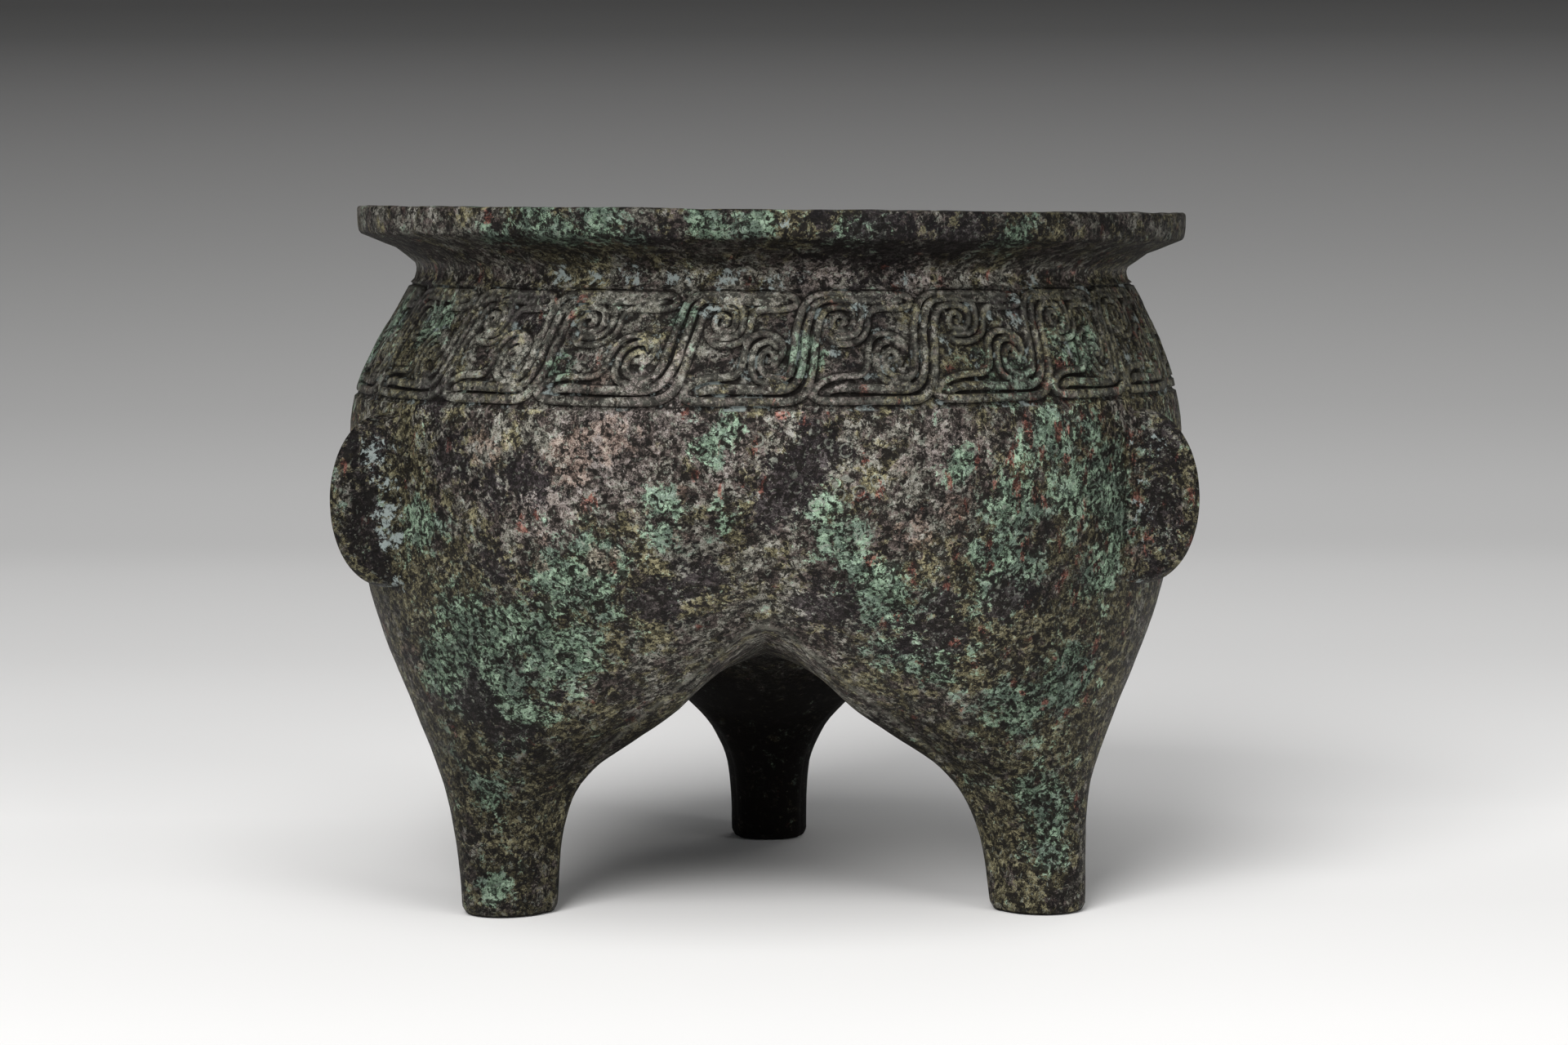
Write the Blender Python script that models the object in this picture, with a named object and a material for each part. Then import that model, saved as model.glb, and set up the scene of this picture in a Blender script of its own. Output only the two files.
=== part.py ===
"""Bronze li tripod: one hollow casting with a flat everted rim, a short neck, a scroll band, a three-lobed belly,
three short legs and a D-shaped flange over each leg.  The front of the vessel faces -Y and it stands on z = 0."""

import math

import bmesh
import bpy
from mathutils import Vector
from mathutils.geometry import delaunay_2d_cdt

MM = 0.001

# Legs: azimuth of each leg plane, in degrees from +X
LEG_AZIMUTHS = (90.0, 210.0, 330.0)

# Outer skin of one lobe and its leg, in mm: the plan section at each height is an arc of an ellipse centred on the
# leg plane, with its reach from the vessel axis and its half width across the leg plane
OUTER = {
    "z": [0.0, 1.4, 8.0, 16.0, 24.0, 32.0, 40.0, 48.0, 56.0, 64.0, 74.0, 86.0, 95.0, 104.0, 112.0, 120.0, 126.0],
    "centre": [61.2, 61.2, 61.0, 60.5, 59.6, 57.2, 52.6, 45.0, 35.0, 26.0, 17.5, 10.0, 5.5, 2.0, 0.0, 0.0, 0.0],
    "reach": [70.1, 70.8, 71.0, 71.6, 72.4, 74.2, 76.8, 79.8, 82.4, 84.2, 85.4, 85.8, 85.7, 84.0, 80.8, 76.6, 73.6],
    "half": [7.8, 8.4, 8.5, 9.1, 12.2, 19.0, 27.0, 36.0, 46.0, 56.0, 66.5, 76.0, 80.5, 82.3, 80.8, 76.8, 73.8],
    "apex_z": 61.5,
    "dip": 7.0,
    "base_z": 48.5,
    "base_line_z": [0.0, 1.4, 10.0, 15.7, 21.4, 25.5, 30.3, 36.7, 41.2, 46.5, 48.5],
    "base_line_r": [52.3, 51.6, 50.6, 49.4, 48.0, 45.6, 38.2, 27.6, 21.4, 9.5, 0.0],
    "leg_angle": 122.0,
}

# Wall of the casting, and the round end of the hollow in the top of each leg
WALL = 3.0
POUCH_FLOOR = 19.0
POUCH_ROUNDING = 9.0

# Heights below the arch over which the crease turns into the leg's corner, and the underside into its inner face
LEG_BLEND = 33.8
BASE_BLEND = 24.6

# Rows and columns of each half lobe
COLUMNS = 8
UP_ROWS = 6
LEG_ROWS = (0.0, 0.08, 0.17, 0.27, 0.37, 0.46, 0.55, 0.64, 0.74, 0.87, 0.977, 1.0)
POUCH_ROWS = (0.0, 0.13, 0.28, 0.44, 0.6, 0.75, 0.87, 0.96, 1.0)
BASE_COLUMNS = 4

# Scroll band between two turned lines on the shoulder
BAND_LOW = 102.4
BAND_HIGH = 125.4
BAND_DEPTH = 0.7
SCROLL_HALF_HEIGHT = 422.0
SCROLL_SCALE = 0.0287

# The scrolls, cut by hand: azimuths of those in front, from the front toward +X, and the number spread evenly behind
FRONT_SCROLLS = (-66.4, -48.1, -31.7, -11.4, 5.3, 21.9, 40.5, 57.0)
HIDDEN_SCROLLS = 13

# Lower half of one scroll's outline in its own units from the middle of its shaft; the upper half is the same one
# turned by half a turn
SCROLL = (
    (99, 0), (66, -235), (5, -345), (-95, -398), (-400, -404), (-770, -392), (-752, -306), (-400, -288), (-190, -286),
    (-110, -238), (-76, -160), (-126, -212), (-180, -244), (-255, -248), (-322, -212), (-352, -130), (-320, -30),
    (-245, -6), (-203, -66), (-262, -68), (-290, -128), (-262, -184), (-196, -196), (-138, -130),
)

# Neck and rim
HEIGHT = 141.0
RIM_RADIUS = 84.9
LIP_FACE = 6.0
NECK_RADIUS = 72.8
NECK_HEIGHT = 128.5
RIM_DISH = 4.5
LIP_ROUND = 0.9

# The hand-made form: rim and feet sit a little toward +X of the belly, and the rim's top drops toward +X
RIM_SHIFT = 1.5
FOOT_SHIFT = 1.3
RIM_SLOPE = 0.0139

# Flanges: a D-shaped plate in each leg plane
FLANGE_LOW = 65.0
FLANGE_HIGH = 100.0
FLANGE_REACH = 97.6
FLANGE_ROOT = 83.6
FLANGE_HALF = 1.9
FLANGE_EDGE = 1.1
FLANGE_STEPS = 12

# The origin is the middle of the box around the vessel, on the ground
AXIS_Y = 0.5 * (RIM_RADIUS - FLANGE_REACH)

COLLECTION = "li_tripod"
NODE = "tripod_body"


def clear_scene():
    """Remove every object."""
    for obj in list(bpy.data.objects):
        bpy.data.objects.remove(obj, do_unlink=True)


def collection(name):
    """Make a collection in the scene."""
    made = bpy.data.collections.new(name)
    bpy.context.scene.collection.children.link(made)
    return made


def principled(name, colour, metallic, roughness):
    """Make a plain material."""
    material = bpy.data.materials.new(name)
    material.use_nodes = True
    shader = material.node_tree.nodes["Principled BSDF"]
    shader.inputs["Base Color"].default_value = (*colour, 1.0)
    shader.inputs["Metallic"].default_value = metallic
    shader.inputs["Roughness"].default_value = roughness
    return material


def table(xs, ys):
    """Return a smooth function through the points that never overshoots them."""
    steps = [(ys[i + 1] - ys[i]) / (xs[i + 1] - xs[i]) for i in range(len(xs) - 1)]
    slopes = [steps[0]]
    for i in range(1, len(xs) - 1):
        a, b = steps[i - 1], steps[i]
        slopes.append(2 * a * b / (a + b) if a * b > 0 else 0.0)
    slopes.append(steps[-1])

    def value(x):
        x = min(max(x, xs[0]), xs[-1])
        i = 0
        while i < len(xs) - 2 and x > xs[i + 1]:
            i += 1
        h = xs[i + 1] - xs[i]
        t = (x - xs[i]) / h
        return (
            (2 * t**3 - 3 * t**2 + 1) * ys[i]
            + (t**3 - 2 * t**2 + t) * h * slopes[i]
            + (3 * t**2 - 2 * t**3) * ys[i + 1]
            + (t**3 - t**2) * h * slopes[i + 1]
        )

    return value


def ease(t):
    """Smooth step from 0 to 1."""
    t = min(max(t, 0.0), 1.0)
    return t * t * (3 - 2 * t)


def slope_of(value, z):
    """Slope of a function."""
    return (value(z + 0.5) - value(z - 0.5)) / 1.0


class Skin:
    """One skin of the vessel, as functions of height in the frame of one leg plane."""

    def __init__(self, numbers, inset):
        self.centre = table(numbers["z"], numbers["centre"])
        self.outer_reach = table(numbers["z"], numbers["reach"])
        self.outer_half = table(numbers["z"], numbers["half"])
        self.inset = inset
        self.floor_z = POUCH_FLOOR if inset else 0.0
        self.apex_z = numbers["apex_z"] + 1.8 * inset
        self.dip = numbers["dip"]
        self.base_z = numbers["base_z"] + 1.25 * inset
        self.sag = 1.8 - 0.12 * inset
        self.leg_angle = math.radians(numbers["leg_angle"] - 4.0 * inset)
        self.base_line = self.line_under(numbers["base_line_r"], numbers["base_line_z"])

    def line_under(self, radii, heights):
        """The line under the leg plane: distance from the axis as a function of height."""
        if not self.inset:
            return table(heights, radii)
        moved = [(self.centre(self.floor_z) - 3.0, self.floor_z)]
        for i in range(1, len(radii)):
            low, high = i - 1, min(i + 1, len(radii) - 1)
            along, rise = radii[high] - radii[low], heights[high] - heights[low]
            size = math.hypot(along, rise)
            if i == len(radii) - 1:
                along, rise, size = -1.0, 0.0, 1.0
            r = radii[i] + self.inset * rise / size
            z = heights[i] - self.inset * along / size
            r += (self.centre(z) - r) * (1.0 - self.closing(z))
            if z > moved[-1][1] + 0.5 and r < moved[-1][0] and z < self.base_z - 0.5:
                moved.append((r, z))
        moved.append((0.0, self.base_z))
        return table([z for _, z in moved], [r for r, _ in moved])

    def closing(self, z):
        """Share of the full width left where the hollow ends."""
        if not self.inset:
            return 1.0
        t = min(max((z - self.floor_z) / POUCH_ROUNDING, 0.0), 1.0)
        return 0.3 + 0.7 * math.sqrt(1.0 - (1.0 - t) ** 2)

    def reach(self, z):
        """Reach of the section from the vessel axis."""
        full = self.outer_reach(z) - self.inset * math.hypot(1.0, slope_of(self.outer_reach, z))
        return self.centre(z) + (full - self.centre(z)) * self.closing(z)

    def half(self, z):
        """Half width of the section across the leg plane."""
        full = self.outer_half(z) - self.inset * math.hypot(1.0, slope_of(self.outer_half, z))
        return full * self.closing(z)

    def ellipse(self, z):
        """Centre and both half axes of the section."""
        centre = self.centre(z)
        return centre, self.reach(z) - centre, self.half(z)

    def arch_angle(self, z):
        """Angle on the ellipse where it meets the plane between two lobes."""
        c, a, b = self.ellipse(z)
        k = math.sqrt(b * b + 3 * a * a)
        return math.atan2(math.sqrt(3) * a, b) + math.asin(min(1.0, math.sqrt(3) * c / k))

    def point(self, z, angle):
        """Point of the lobe's outside: along the leg plane, across it, height."""
        c, a, b = self.ellipse(z)
        return (c + a * math.cos(angle), b * math.sin(angle), z)

    def radius(self, azimuth, z):
        """Distance from the vessel axis at an azimuth in radians, above the arches."""
        third = math.radians(120)
        turn = (azimuth - math.radians(LEG_AZIMUTHS[0])) % third
        turn = min(turn, third - turn)
        c, a, b = self.ellipse(z)
        co, si = math.cos(turn), math.sin(turn)
        p = (co / a) ** 2 + (si / b) ** 2
        q = c * co / a**2
        return (q + math.sqrt(q * q - p * ((c / a) ** 2 - 1))) / p

    def crease(self, k):
        """Height and angle of the line under the lobe, from the arch's apex (0) down to the foot (1)."""
        z = self.apex_z + (self.floor_z - self.apex_z) * k
        start = self.arch_angle(self.apex_z)
        return z, start + (self.leg_angle - start) * ease((self.apex_z - z) / LEG_BLEND)

    def up_patch(self, top_z, rows):
        """Grid from a level ring at the top down to the arch's apex."""
        grid = []
        for i in range(rows + 1):
            t = i / rows
            arch_z = top_z + (self.apex_z - top_z) * t
            leg_z = top_z + (self.apex_z - self.dip - top_z) * t
            line = []
            for j in range(COLUMNS + 1):
                u = j / COLUMNS
                z = leg_z + (arch_z - leg_z) * ease(u)
                line.append(self.point(z, u * self.arch_angle(z)))
            grid.append(line)
        return grid

    def leg_patch(self, levels):
        """Grid from the apex row down the outside of the leg to the crease."""
        grid = []
        for k in levels:
            crease_z, crease_angle = self.crease(k)
            leg_z = self.apex_z - self.dip + (self.floor_z - self.apex_z + self.dip) * k
            line = []
            for j in range(COLUMNS + 1):
                u = j / COLUMNS
                z = leg_z + (crease_z - leg_z) * ease(u)
                angle = u * (self.arch_angle(z) if k == 0 else crease_angle)
                line.append(self.point(z, angle))
            grid.append(line)
        return grid

    def base_patch(self, levels):
        """Grid from the crease across the underside to the line under the leg plane."""
        grid = []
        for k in levels:
            crease_z, crease_angle = self.crease(k)
            along, across, height = self.point(crease_z, crease_angle)
            line_z = self.base_z + (self.floor_z - self.base_z) * k
            line_r = self.base_line(line_z)
            leg = ease((self.apex_z - crease_z) / BASE_BLEND)
            line = []
            for j in range(BASE_COLUMNS + 1):
                v = j / BASE_COLUMNS
                flat = 1 - v
                turn = v * math.pi / 2
                wide = flat * (1 - leg) + math.cos(turn) * leg
                deep = flat * (1 - leg) + (1 - math.sin(turn)) * leg
                rise = flat**self.sag * (1 - leg) + flat * leg
                line.append((line_r + (along - line_r) * deep, across * wide, line_z + (height - line_z) * rise))
            grid.append(line)
        return grid


class Builder:
    """Collects points and faces, joining points that coincide."""

    def __init__(self):
        self.points = []
        self.faces = []
        self.index = {}

    def add(self, point):
        """Index of a point."""
        key = tuple(round(value * 2000) for value in point)
        if key not in self.index:
            self.index[key] = len(self.points)
            self.points.append(point)
        return self.index[key]

    def face(self, corners):
        """Add a face, leaving out repeated corners."""
        ring = []
        for corner in corners:
            if corner not in ring:
                ring.append(corner)
        if len(ring) > 2:
            self.faces.append(ring)

    def grid(self, rows, place):
        """Add a grid of quads."""
        made = [[self.add(place(point)) for point in row] for row in rows]
        for upper, lower in zip(made, made[1:]):
            for j in range(len(upper) - 1):
                self.face((upper[j], upper[j + 1], lower[j + 1], lower[j]))
        return made


def leg_placer(azimuth, side):
    """Carry a point from a leg plane's frame to the vessel's."""
    turn = math.radians(azimuth)
    co, si = math.cos(turn), math.sin(turn)

    def place(point):
        along, across, z = point
        across *= side
        return (along * co - across * si, along * si + across * co, z)

    return place


def add_skin(builder, skin, top_z, rows, levels):
    """Add the six half lobes of a skin and close the bottom of each leg.  Returns the ring at the top."""
    ring = {}
    for azimuth in LEG_AZIMUTHS:
        bottom = {}
        for side in (1, -1):
            place = leg_placer(azimuth, side)
            made = builder.grid(skin.up_patch(top_z, rows), place)
            for index in made[0]:
                x, y, z = builder.points[index]
                ring[index] = math.atan2(y, x)
            legs = builder.grid(skin.leg_patch(levels), place)
            base = builder.grid(skin.base_patch(levels), place)
            bottom[side] = legs[-1] + base[-1][1:]
        loop = bottom[1] + bottom[-1][::-1]
        builder.face(loop)
    return sorted(ring, key=ring.get)


def add_rings(builder, last, rings):
    """Join a ring to the next ones, all with the same number of points."""
    for ring in rings:
        count = len(ring)
        for j in range(count):
            k = (j + 1) % count
            builder.face((last[j], last[k], ring[k], ring[j]))
        last = ring
    return last


def ring_at(builder, azimuths, radius, z):
    """Add one round ring."""
    return [builder.add((radius * math.cos(a), radius * math.sin(a), z)) for a in azimuths]


def scroll_azimuths():
    """Azimuth of every scroll's shaft, in degrees from the front."""
    step = (360.0 + FRONT_SCROLLS[0] - FRONT_SCROLLS[-1]) / (HIDDEN_SCROLLS + 1)
    return list(FRONT_SCROLLS) + [FRONT_SCROLLS[-1] + step * (i + 1) for i in range(HIDDEN_SCROLLS)]


def scroll_outline(azimuths, unit):
    """Outline of one scroll as azimuth and share of the band's height."""
    count = len(azimuths)
    middle = math.radians(azimuths[unit] - 90.0)
    radius = 0.5 * (OUTER_SKIN.radius(middle, BAND_LOW) + OUTER_SKIN.radius(middle, BAND_HIGH))
    even = 360.0 / count
    stretch = {
        1: ((azimuths[(unit + 1) % count] - azimuths[unit]) % 360.0) / even,
        -1: ((azimuths[unit] - azimuths[unit - 1]) % 360.0) / even,
    }
    outline = []
    for turn in (1, -1):
        for x, y in SCROLL:
            x, y = turn * x, turn * y
            across = x * SCROLL_SCALE * stretch[1 if x > 0 else -1]
            outline.append((middle + across / radius, 0.5 + 0.5 * y / SCROLL_HALF_HEIGHT))
    return outline


def add_band(builder, low_ring, azimuths):
    """Add the sunk ground of the band with the scrolls standing on it.  Returns the ring at its top."""
    height = BAND_HIGH - BAND_LOW
    count = len(azimuths)

    def flat(azimuth, share):
        grow = math.exp(share * height * 1.08 / 80.0)
        return Vector((grow * math.cos(azimuth), grow * math.sin(azimuth)))

    flats = [flat(a, 0.0) for a in azimuths] + [flat(a, 1.0) for a in azimuths]
    edges = []
    for start in (0, count):
        edges += [(start + j, start + (j + 1) % count) for j in range(count)]
    polygons = []
    shafts = scroll_azimuths()
    for unit in range(len(shafts)):
        outline = scroll_outline(shafts, unit)
        start = len(flats)
        flats += [flat(a, s) for a, s in outline]
        polygons.append(list(range(start, start + len(outline))))
    spots, _, triangles, origin, _, owners = delaunay_2d_cdt(flats, edges, polygons, 0, 1e-7)

    def ring_index(point):
        for original in origin[point]:
            if original < 2 * count:
                return original
        return -1

    known = [ring_index(i) for i in range(len(spots))]

    def place(point, raised):
        spot = spots[point]
        if known[point] >= 0:
            azimuth = azimuths[known[point] % count]
            share = known[point] // count
        else:
            azimuth = math.atan2(spot.y, spot.x)
            share = math.log(spot.length) * 80.0 / 1.08 / height
        z = BAND_LOW + height * share
        radius = OUTER_SKIN.radius(azimuth, z) - (0.0 if raised else BAND_DEPTH)
        return builder.add((radius * math.cos(azimuth), radius * math.sin(azimuth), z))

    sides = {}
    for triangle, owner in zip(triangles, owners):
        middle = sum((spots[p] for p in triangle), Vector((0.0, 0.0))) / 3
        if all(0 <= known[p] < count for p in triangle) and middle.length < 1.0:
            continue
        raised = len(owner) > 0
        builder.face([place(p, raised) for p in triangle])
        for j in range(3):
            pair = (triangle[j], triangle[(j + 1) % 3])
            sides[pair] = raised
    for (p, q), raised in sides.items():
        if raised and sides.get((q, p)) is False:
            builder.face((place(p, True), place(q, True), place(q, False), place(p, False)))
    sunk_low = [place(next(i for i in range(len(spots)) if known[i] == j), False) for j in range(count)]
    sunk_high = [place(next(i for i in range(len(spots)) if known[i] == count + j), False) for j in range(count)]
    add_rings(builder, low_ring, [sunk_low])
    high = []
    for azimuth in azimuths:
        radius = OUTER_SKIN.radius(azimuth, BAND_HIGH)
        high.append(builder.add((radius * math.cos(azimuth), radius * math.sin(azimuth), BAND_HIGH)))
    add_rings(builder, sunk_high, [high])
    return high


def lean(point):
    """Give the vessel its hand-made shift and slope."""
    x, y, z = point
    shift = FOOT_SHIFT * (1.0 - ease(z / 32.0)) * ease((20.0 - y) / 40.0) + RIM_SHIFT * ease((z - 100.0) / 30.0)
    slope = RIM_SLOPE * ease((z - 120.0) / 12.0)
    return (x + shift, y + AXIS_Y, z - slope * (x + RIM_RADIUS))


def rim_profile():
    """Radius and height of each ring from the band out over the lip and down to the throat."""
    slope = RIM_DISH / (RIM_RADIUS - NECK_RADIUS)
    under = HEIGHT - LIP_FACE
    throat = NECK_RADIUS - WALL
    return (
        (NECK_RADIUS, NECK_HEIGHT - 0.9),
        (NECK_RADIUS + 0.2, NECK_HEIGHT + 0.9),
        (NECK_RADIUS + 0.34 * (RIM_RADIUS - NECK_RADIUS), NECK_HEIGHT + 0.9 + 0.54 * (under - NECK_HEIGHT - 0.9)),
        (RIM_RADIUS - 1.3, under),
        (RIM_RADIUS - 0.4, under + LIP_ROUND),
        (RIM_RADIUS, HEIGHT - 0.5),
        (RIM_RADIUS - 0.8, HEIGHT),
        (RIM_RADIUS - 6.9, HEIGHT - 6.1 * slope),
        (NECK_RADIUS - 0.2, HEIGHT - RIM_DISH),
        (throat + 0.4, NECK_HEIGHT + 0.55 * (HEIGHT - RIM_DISH - NECK_HEIGHT)),
        (throat, NECK_HEIGHT),
    )


def body_mesh():
    """Mesh of the hollow vessel with its legs."""
    builder = Builder()
    low_ring = add_skin(builder, OUTER_SKIN, BAND_LOW, UP_ROWS, LEG_ROWS)
    azimuths = [math.atan2(builder.points[i][1], builder.points[i][0]) for i in low_ring]
    high_ring = add_band(builder, low_ring, azimuths)
    rings = [ring_at(builder, azimuths, radius, z) for radius, z in rim_profile()]
    last = add_rings(builder, high_ring, rings)
    inner_ring = add_skin(builder, INNER_SKIN, BAND_HIGH - 4.0, UP_ROWS + 1, POUCH_ROWS)
    add_rings(builder, last, [inner_ring])
    mesh = bpy.data.meshes.new(NODE)
    mesh.from_pydata([[value * MM for value in lean(point)] for point in builder.points], [], builder.faces)
    work = bmesh.new()
    work.from_mesh(mesh)
    bmesh.ops.remove_doubles(work, verts=work.verts, dist=0.000002)
    bmesh.ops.recalc_face_normals(work, faces=work.faces)
    if work.calc_volume(signed=True) < 0:
        bmesh.ops.reverse_faces(work, faces=work.faces)
    work.to_mesh(mesh)
    work.free()
    return mesh


def flange_mesh(azimuth):
    """Mesh of one D-shaped plate, its root inside the wall."""
    place = leg_placer(azimuth, 1)
    middle = 0.5 * (FLANGE_LOW + FLANGE_HIGH) + 1.0
    half = 0.5 * (FLANGE_HIGH - FLANGE_LOW)
    depth = FLANGE_REACH - FLANGE_ROOT
    outline = [(FLANGE_ROOT - 0.5, FLANGE_LOW)]
    for step in range(1, FLANGE_STEPS):
        turn = math.pi * (step / FLANGE_STEPS - 0.5)
        along = FLANGE_ROOT + depth * math.cos(turn) ** 0.85
        outline.append((along, middle + half * math.sin(turn)))
    outline.append((FLANGE_ROOT - 0.5, FLANGE_HIGH))
    face, ridge = FLANGE_HALF, FLANGE_HALF * 0.35
    builder = Builder()
    loops = []
    for across, inset in ((-face, FLANGE_EDGE), (-ridge, 0.0), (ridge, 0.0), (face, FLANGE_EDGE)):
        loop = []
        for along, z in outline:
            share = (along - FLANGE_ROOT + 0.5) / (depth + 0.5)
            level = middle + (z - middle) * (1.0 - inset / half)
            loop.append(builder.add(place((along - inset * share, across, level))))
        loops.append(loop)
    add_rings(builder, loops[0], loops[1:])
    builder.face(loops[0])
    builder.face(loops[-1])
    mesh = bpy.data.meshes.new("flange")
    mesh.from_pydata([[value * MM for value in lean(point)] for point in builder.points], [], builder.faces)
    work = bmesh.new()
    work.from_mesh(mesh)
    bmesh.ops.recalc_face_normals(work, faces=work.faces)
    work.to_mesh(mesh)
    work.free()
    return mesh


OUTER_SKIN = Skin(OUTER, 0.0)
INNER_SKIN = Skin(OUTER, WALL)


def main():
    """Build the vessel."""
    clear_scene()
    shown = collection(COLLECTION)
    cutters = collection(COLLECTION + "_cutters")
    bronze = principled("patinated_bronze", (0.17, 0.19, 0.15), 0.35, 0.62)
    mesh = body_mesh()
    mesh.materials.append(bronze)
    body = bpy.data.objects.new(NODE, mesh)
    shown.objects.link(body)
    for number, azimuth in enumerate(LEG_AZIMUTHS):
        plate = bpy.data.objects.new(f"flange_{number + 1}", flange_mesh(azimuth))
        plate.data.materials.append(bronze)
        plate.hide_render = True
        plate.display_type = "WIRE"
        cutters.objects.link(plate)
        join = body.modifiers.new(f"join_flange_{number + 1}", "BOOLEAN")
        join.operation = "UNION"
        join.solver = "EXACT"
        join.object = plate


main()
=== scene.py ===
"""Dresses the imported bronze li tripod: fine casting, cut scroll band, flanges, patina, floor and light."""

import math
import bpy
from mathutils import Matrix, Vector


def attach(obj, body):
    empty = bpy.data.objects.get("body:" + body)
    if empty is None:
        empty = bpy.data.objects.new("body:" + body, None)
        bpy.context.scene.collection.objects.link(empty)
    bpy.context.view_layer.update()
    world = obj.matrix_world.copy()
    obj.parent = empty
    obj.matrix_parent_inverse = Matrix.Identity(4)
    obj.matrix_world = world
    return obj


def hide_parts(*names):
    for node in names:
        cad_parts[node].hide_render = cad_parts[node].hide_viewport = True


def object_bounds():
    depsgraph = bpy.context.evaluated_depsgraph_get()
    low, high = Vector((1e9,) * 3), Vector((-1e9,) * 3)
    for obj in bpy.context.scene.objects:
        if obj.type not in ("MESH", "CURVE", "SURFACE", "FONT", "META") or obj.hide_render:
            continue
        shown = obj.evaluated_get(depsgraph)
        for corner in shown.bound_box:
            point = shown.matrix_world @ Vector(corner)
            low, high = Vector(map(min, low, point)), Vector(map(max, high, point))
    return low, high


bl_info = {
    "name": "Bronze li tripod",
    "version": (1, 0, 0),
    "blender": (4, 5, 0),
    "location": "View3D > Sidebar > Tripod",
    "description": "Casts the tripod's fine surface, cuts its scroll band and lays on its patina",
    "category": "Object",
}

import bmesh
import bpy
import numpy as np
from bpy.props import FloatProperty, FloatVectorProperty, IntProperty, PointerProperty
from mathutils import Vector, kdtree, noise
from mathutils.geometry import delaunay_2d_cdt

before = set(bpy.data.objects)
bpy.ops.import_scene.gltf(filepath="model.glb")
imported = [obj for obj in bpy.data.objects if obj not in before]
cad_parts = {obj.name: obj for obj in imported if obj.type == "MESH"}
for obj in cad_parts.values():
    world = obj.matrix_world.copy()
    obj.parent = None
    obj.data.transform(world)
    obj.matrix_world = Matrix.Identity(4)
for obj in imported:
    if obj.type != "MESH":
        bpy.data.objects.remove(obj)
CAD_LOW, CAD_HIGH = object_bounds()

MM = 0.001
BODY = "root"
CAST_NODE = "tripod_body"

# The casting's own sizes in mm, the same as the solid's
LEG_AZIMUTHS = (90.0, 210.0, 330.0)
LOBE = {
    "z": [
        0.0, 1.4, 8.0, 16.0, 24.0, 32.0, 40.0, 48.0, 56.0, 64.0, 74.0, 86.0, 95.0, 104.0, 112.0, 120.0,
        126.0,
    ],
    "centre": [
        61.2, 61.2, 61.0, 60.5, 59.6, 57.2, 52.6, 45.0, 35.0, 26.0, 17.5, 10.0, 5.5, 2.0, 0.0, 0.0, 0.0,
    ],
    "reach": [
        70.1, 70.8, 71.0, 71.6, 72.4, 74.2, 76.8, 79.8, 82.4, 84.2, 85.4, 85.8, 85.7, 84.0, 80.8, 76.6,
        73.6,
    ],
    "half": [
        7.8, 8.4, 8.5, 9.1, 12.2, 19.0, 27.0, 36.0, 46.0, 56.0, 66.5, 76.0, 80.5, 82.3, 80.8, 76.8, 73.8,
    ],
    "apex_z": 61.5,
    "dip": 7.0,
    "base_z": 48.5,
    "base_line_z": [0.0, 1.4, 10.0, 15.7, 21.4, 25.5, 30.3, 36.7, 41.2, 46.5, 48.5],
    "base_line_r": [52.3, 51.6, 50.6, 49.4, 48.0, 45.6, 38.2, 27.6, 21.4, 9.5, 0.0],
    "leg_angle": 122.0,
}
WALL = 3.0
POUCH_FLOOR = 19.0
POUCH_ROUNDING = 9.0
LEG_BLEND = 33.8
BASE_BLEND = 24.6
BAND_LOW = 102.4
BAND_HIGH = 125.4
HEIGHT = 141.0
RIM_RADIUS = 84.9
LIP_FACE = 6.0
NECK_RADIUS = 72.8
NECK_HEIGHT = 128.5
RIM_DISH = 4.5
RIM_SHIFT = 1.5
FOOT_SHIFT = 1.3
RIM_SLOPE = 0.0139
FLANGE_LOW = 65.0
FLANGE_HIGH = 100.0
FLANGE_REACH = 97.6
FLANGE_ROOT = 83.6
FLANGE_HALF = 1.9
AXIS_Y = 0.5 * (RIM_RADIUS - FLANGE_REACH)

# Rounding of the arches' peaks: slope of the arms, half width of the round part, and how far it reaches
APEX_SLOPE = 0.76
APEX_WIDTH = 3.4
APEX_REACH = 9.0

# Below this height the belly is three separate lobes
LOBES_MEET = 64.0

# Waves of the hand-made wall: size in mm, seed and share
WAVES = ((21.0, 1, 0.75), (7.0, 2, 0.3), (2.6, 3, 0.16))

# Raised edge under each arch in mm, which also carries a painted highlight: how wide and how proud it is
EDGE_WIDTH = 0.9
EDGE_RISE = 0.35

# Mesh density
COLUMNS = 48
UP_ROWS = 18
LEG_LEVELS = tuple(i / 36 * 0.965 for i in range(37)) + (0.978, 0.987, 0.994, 1.0)
POUCH_LEVELS = tuple(i / 20 for i in range(21))
BASE_COLUMNS = 18
FLANGE_STEPS = 44
FLANGE_LAYERS = 22

# Scrolls of the band: azimuths of those in front, and the number spread evenly behind
FRONT_SCROLLS = (-66.4, -48.1, -31.7, -11.4, 5.3, 21.9, 40.5, 57.0)
HIDDEN_SCROLLS = 13
SCROLL_HALF_HEIGHT = 422.0
SCROLL_SCALE = 0.0287
BAND_RADIUS = 80.0
BAND_RISE = 25.4

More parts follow.
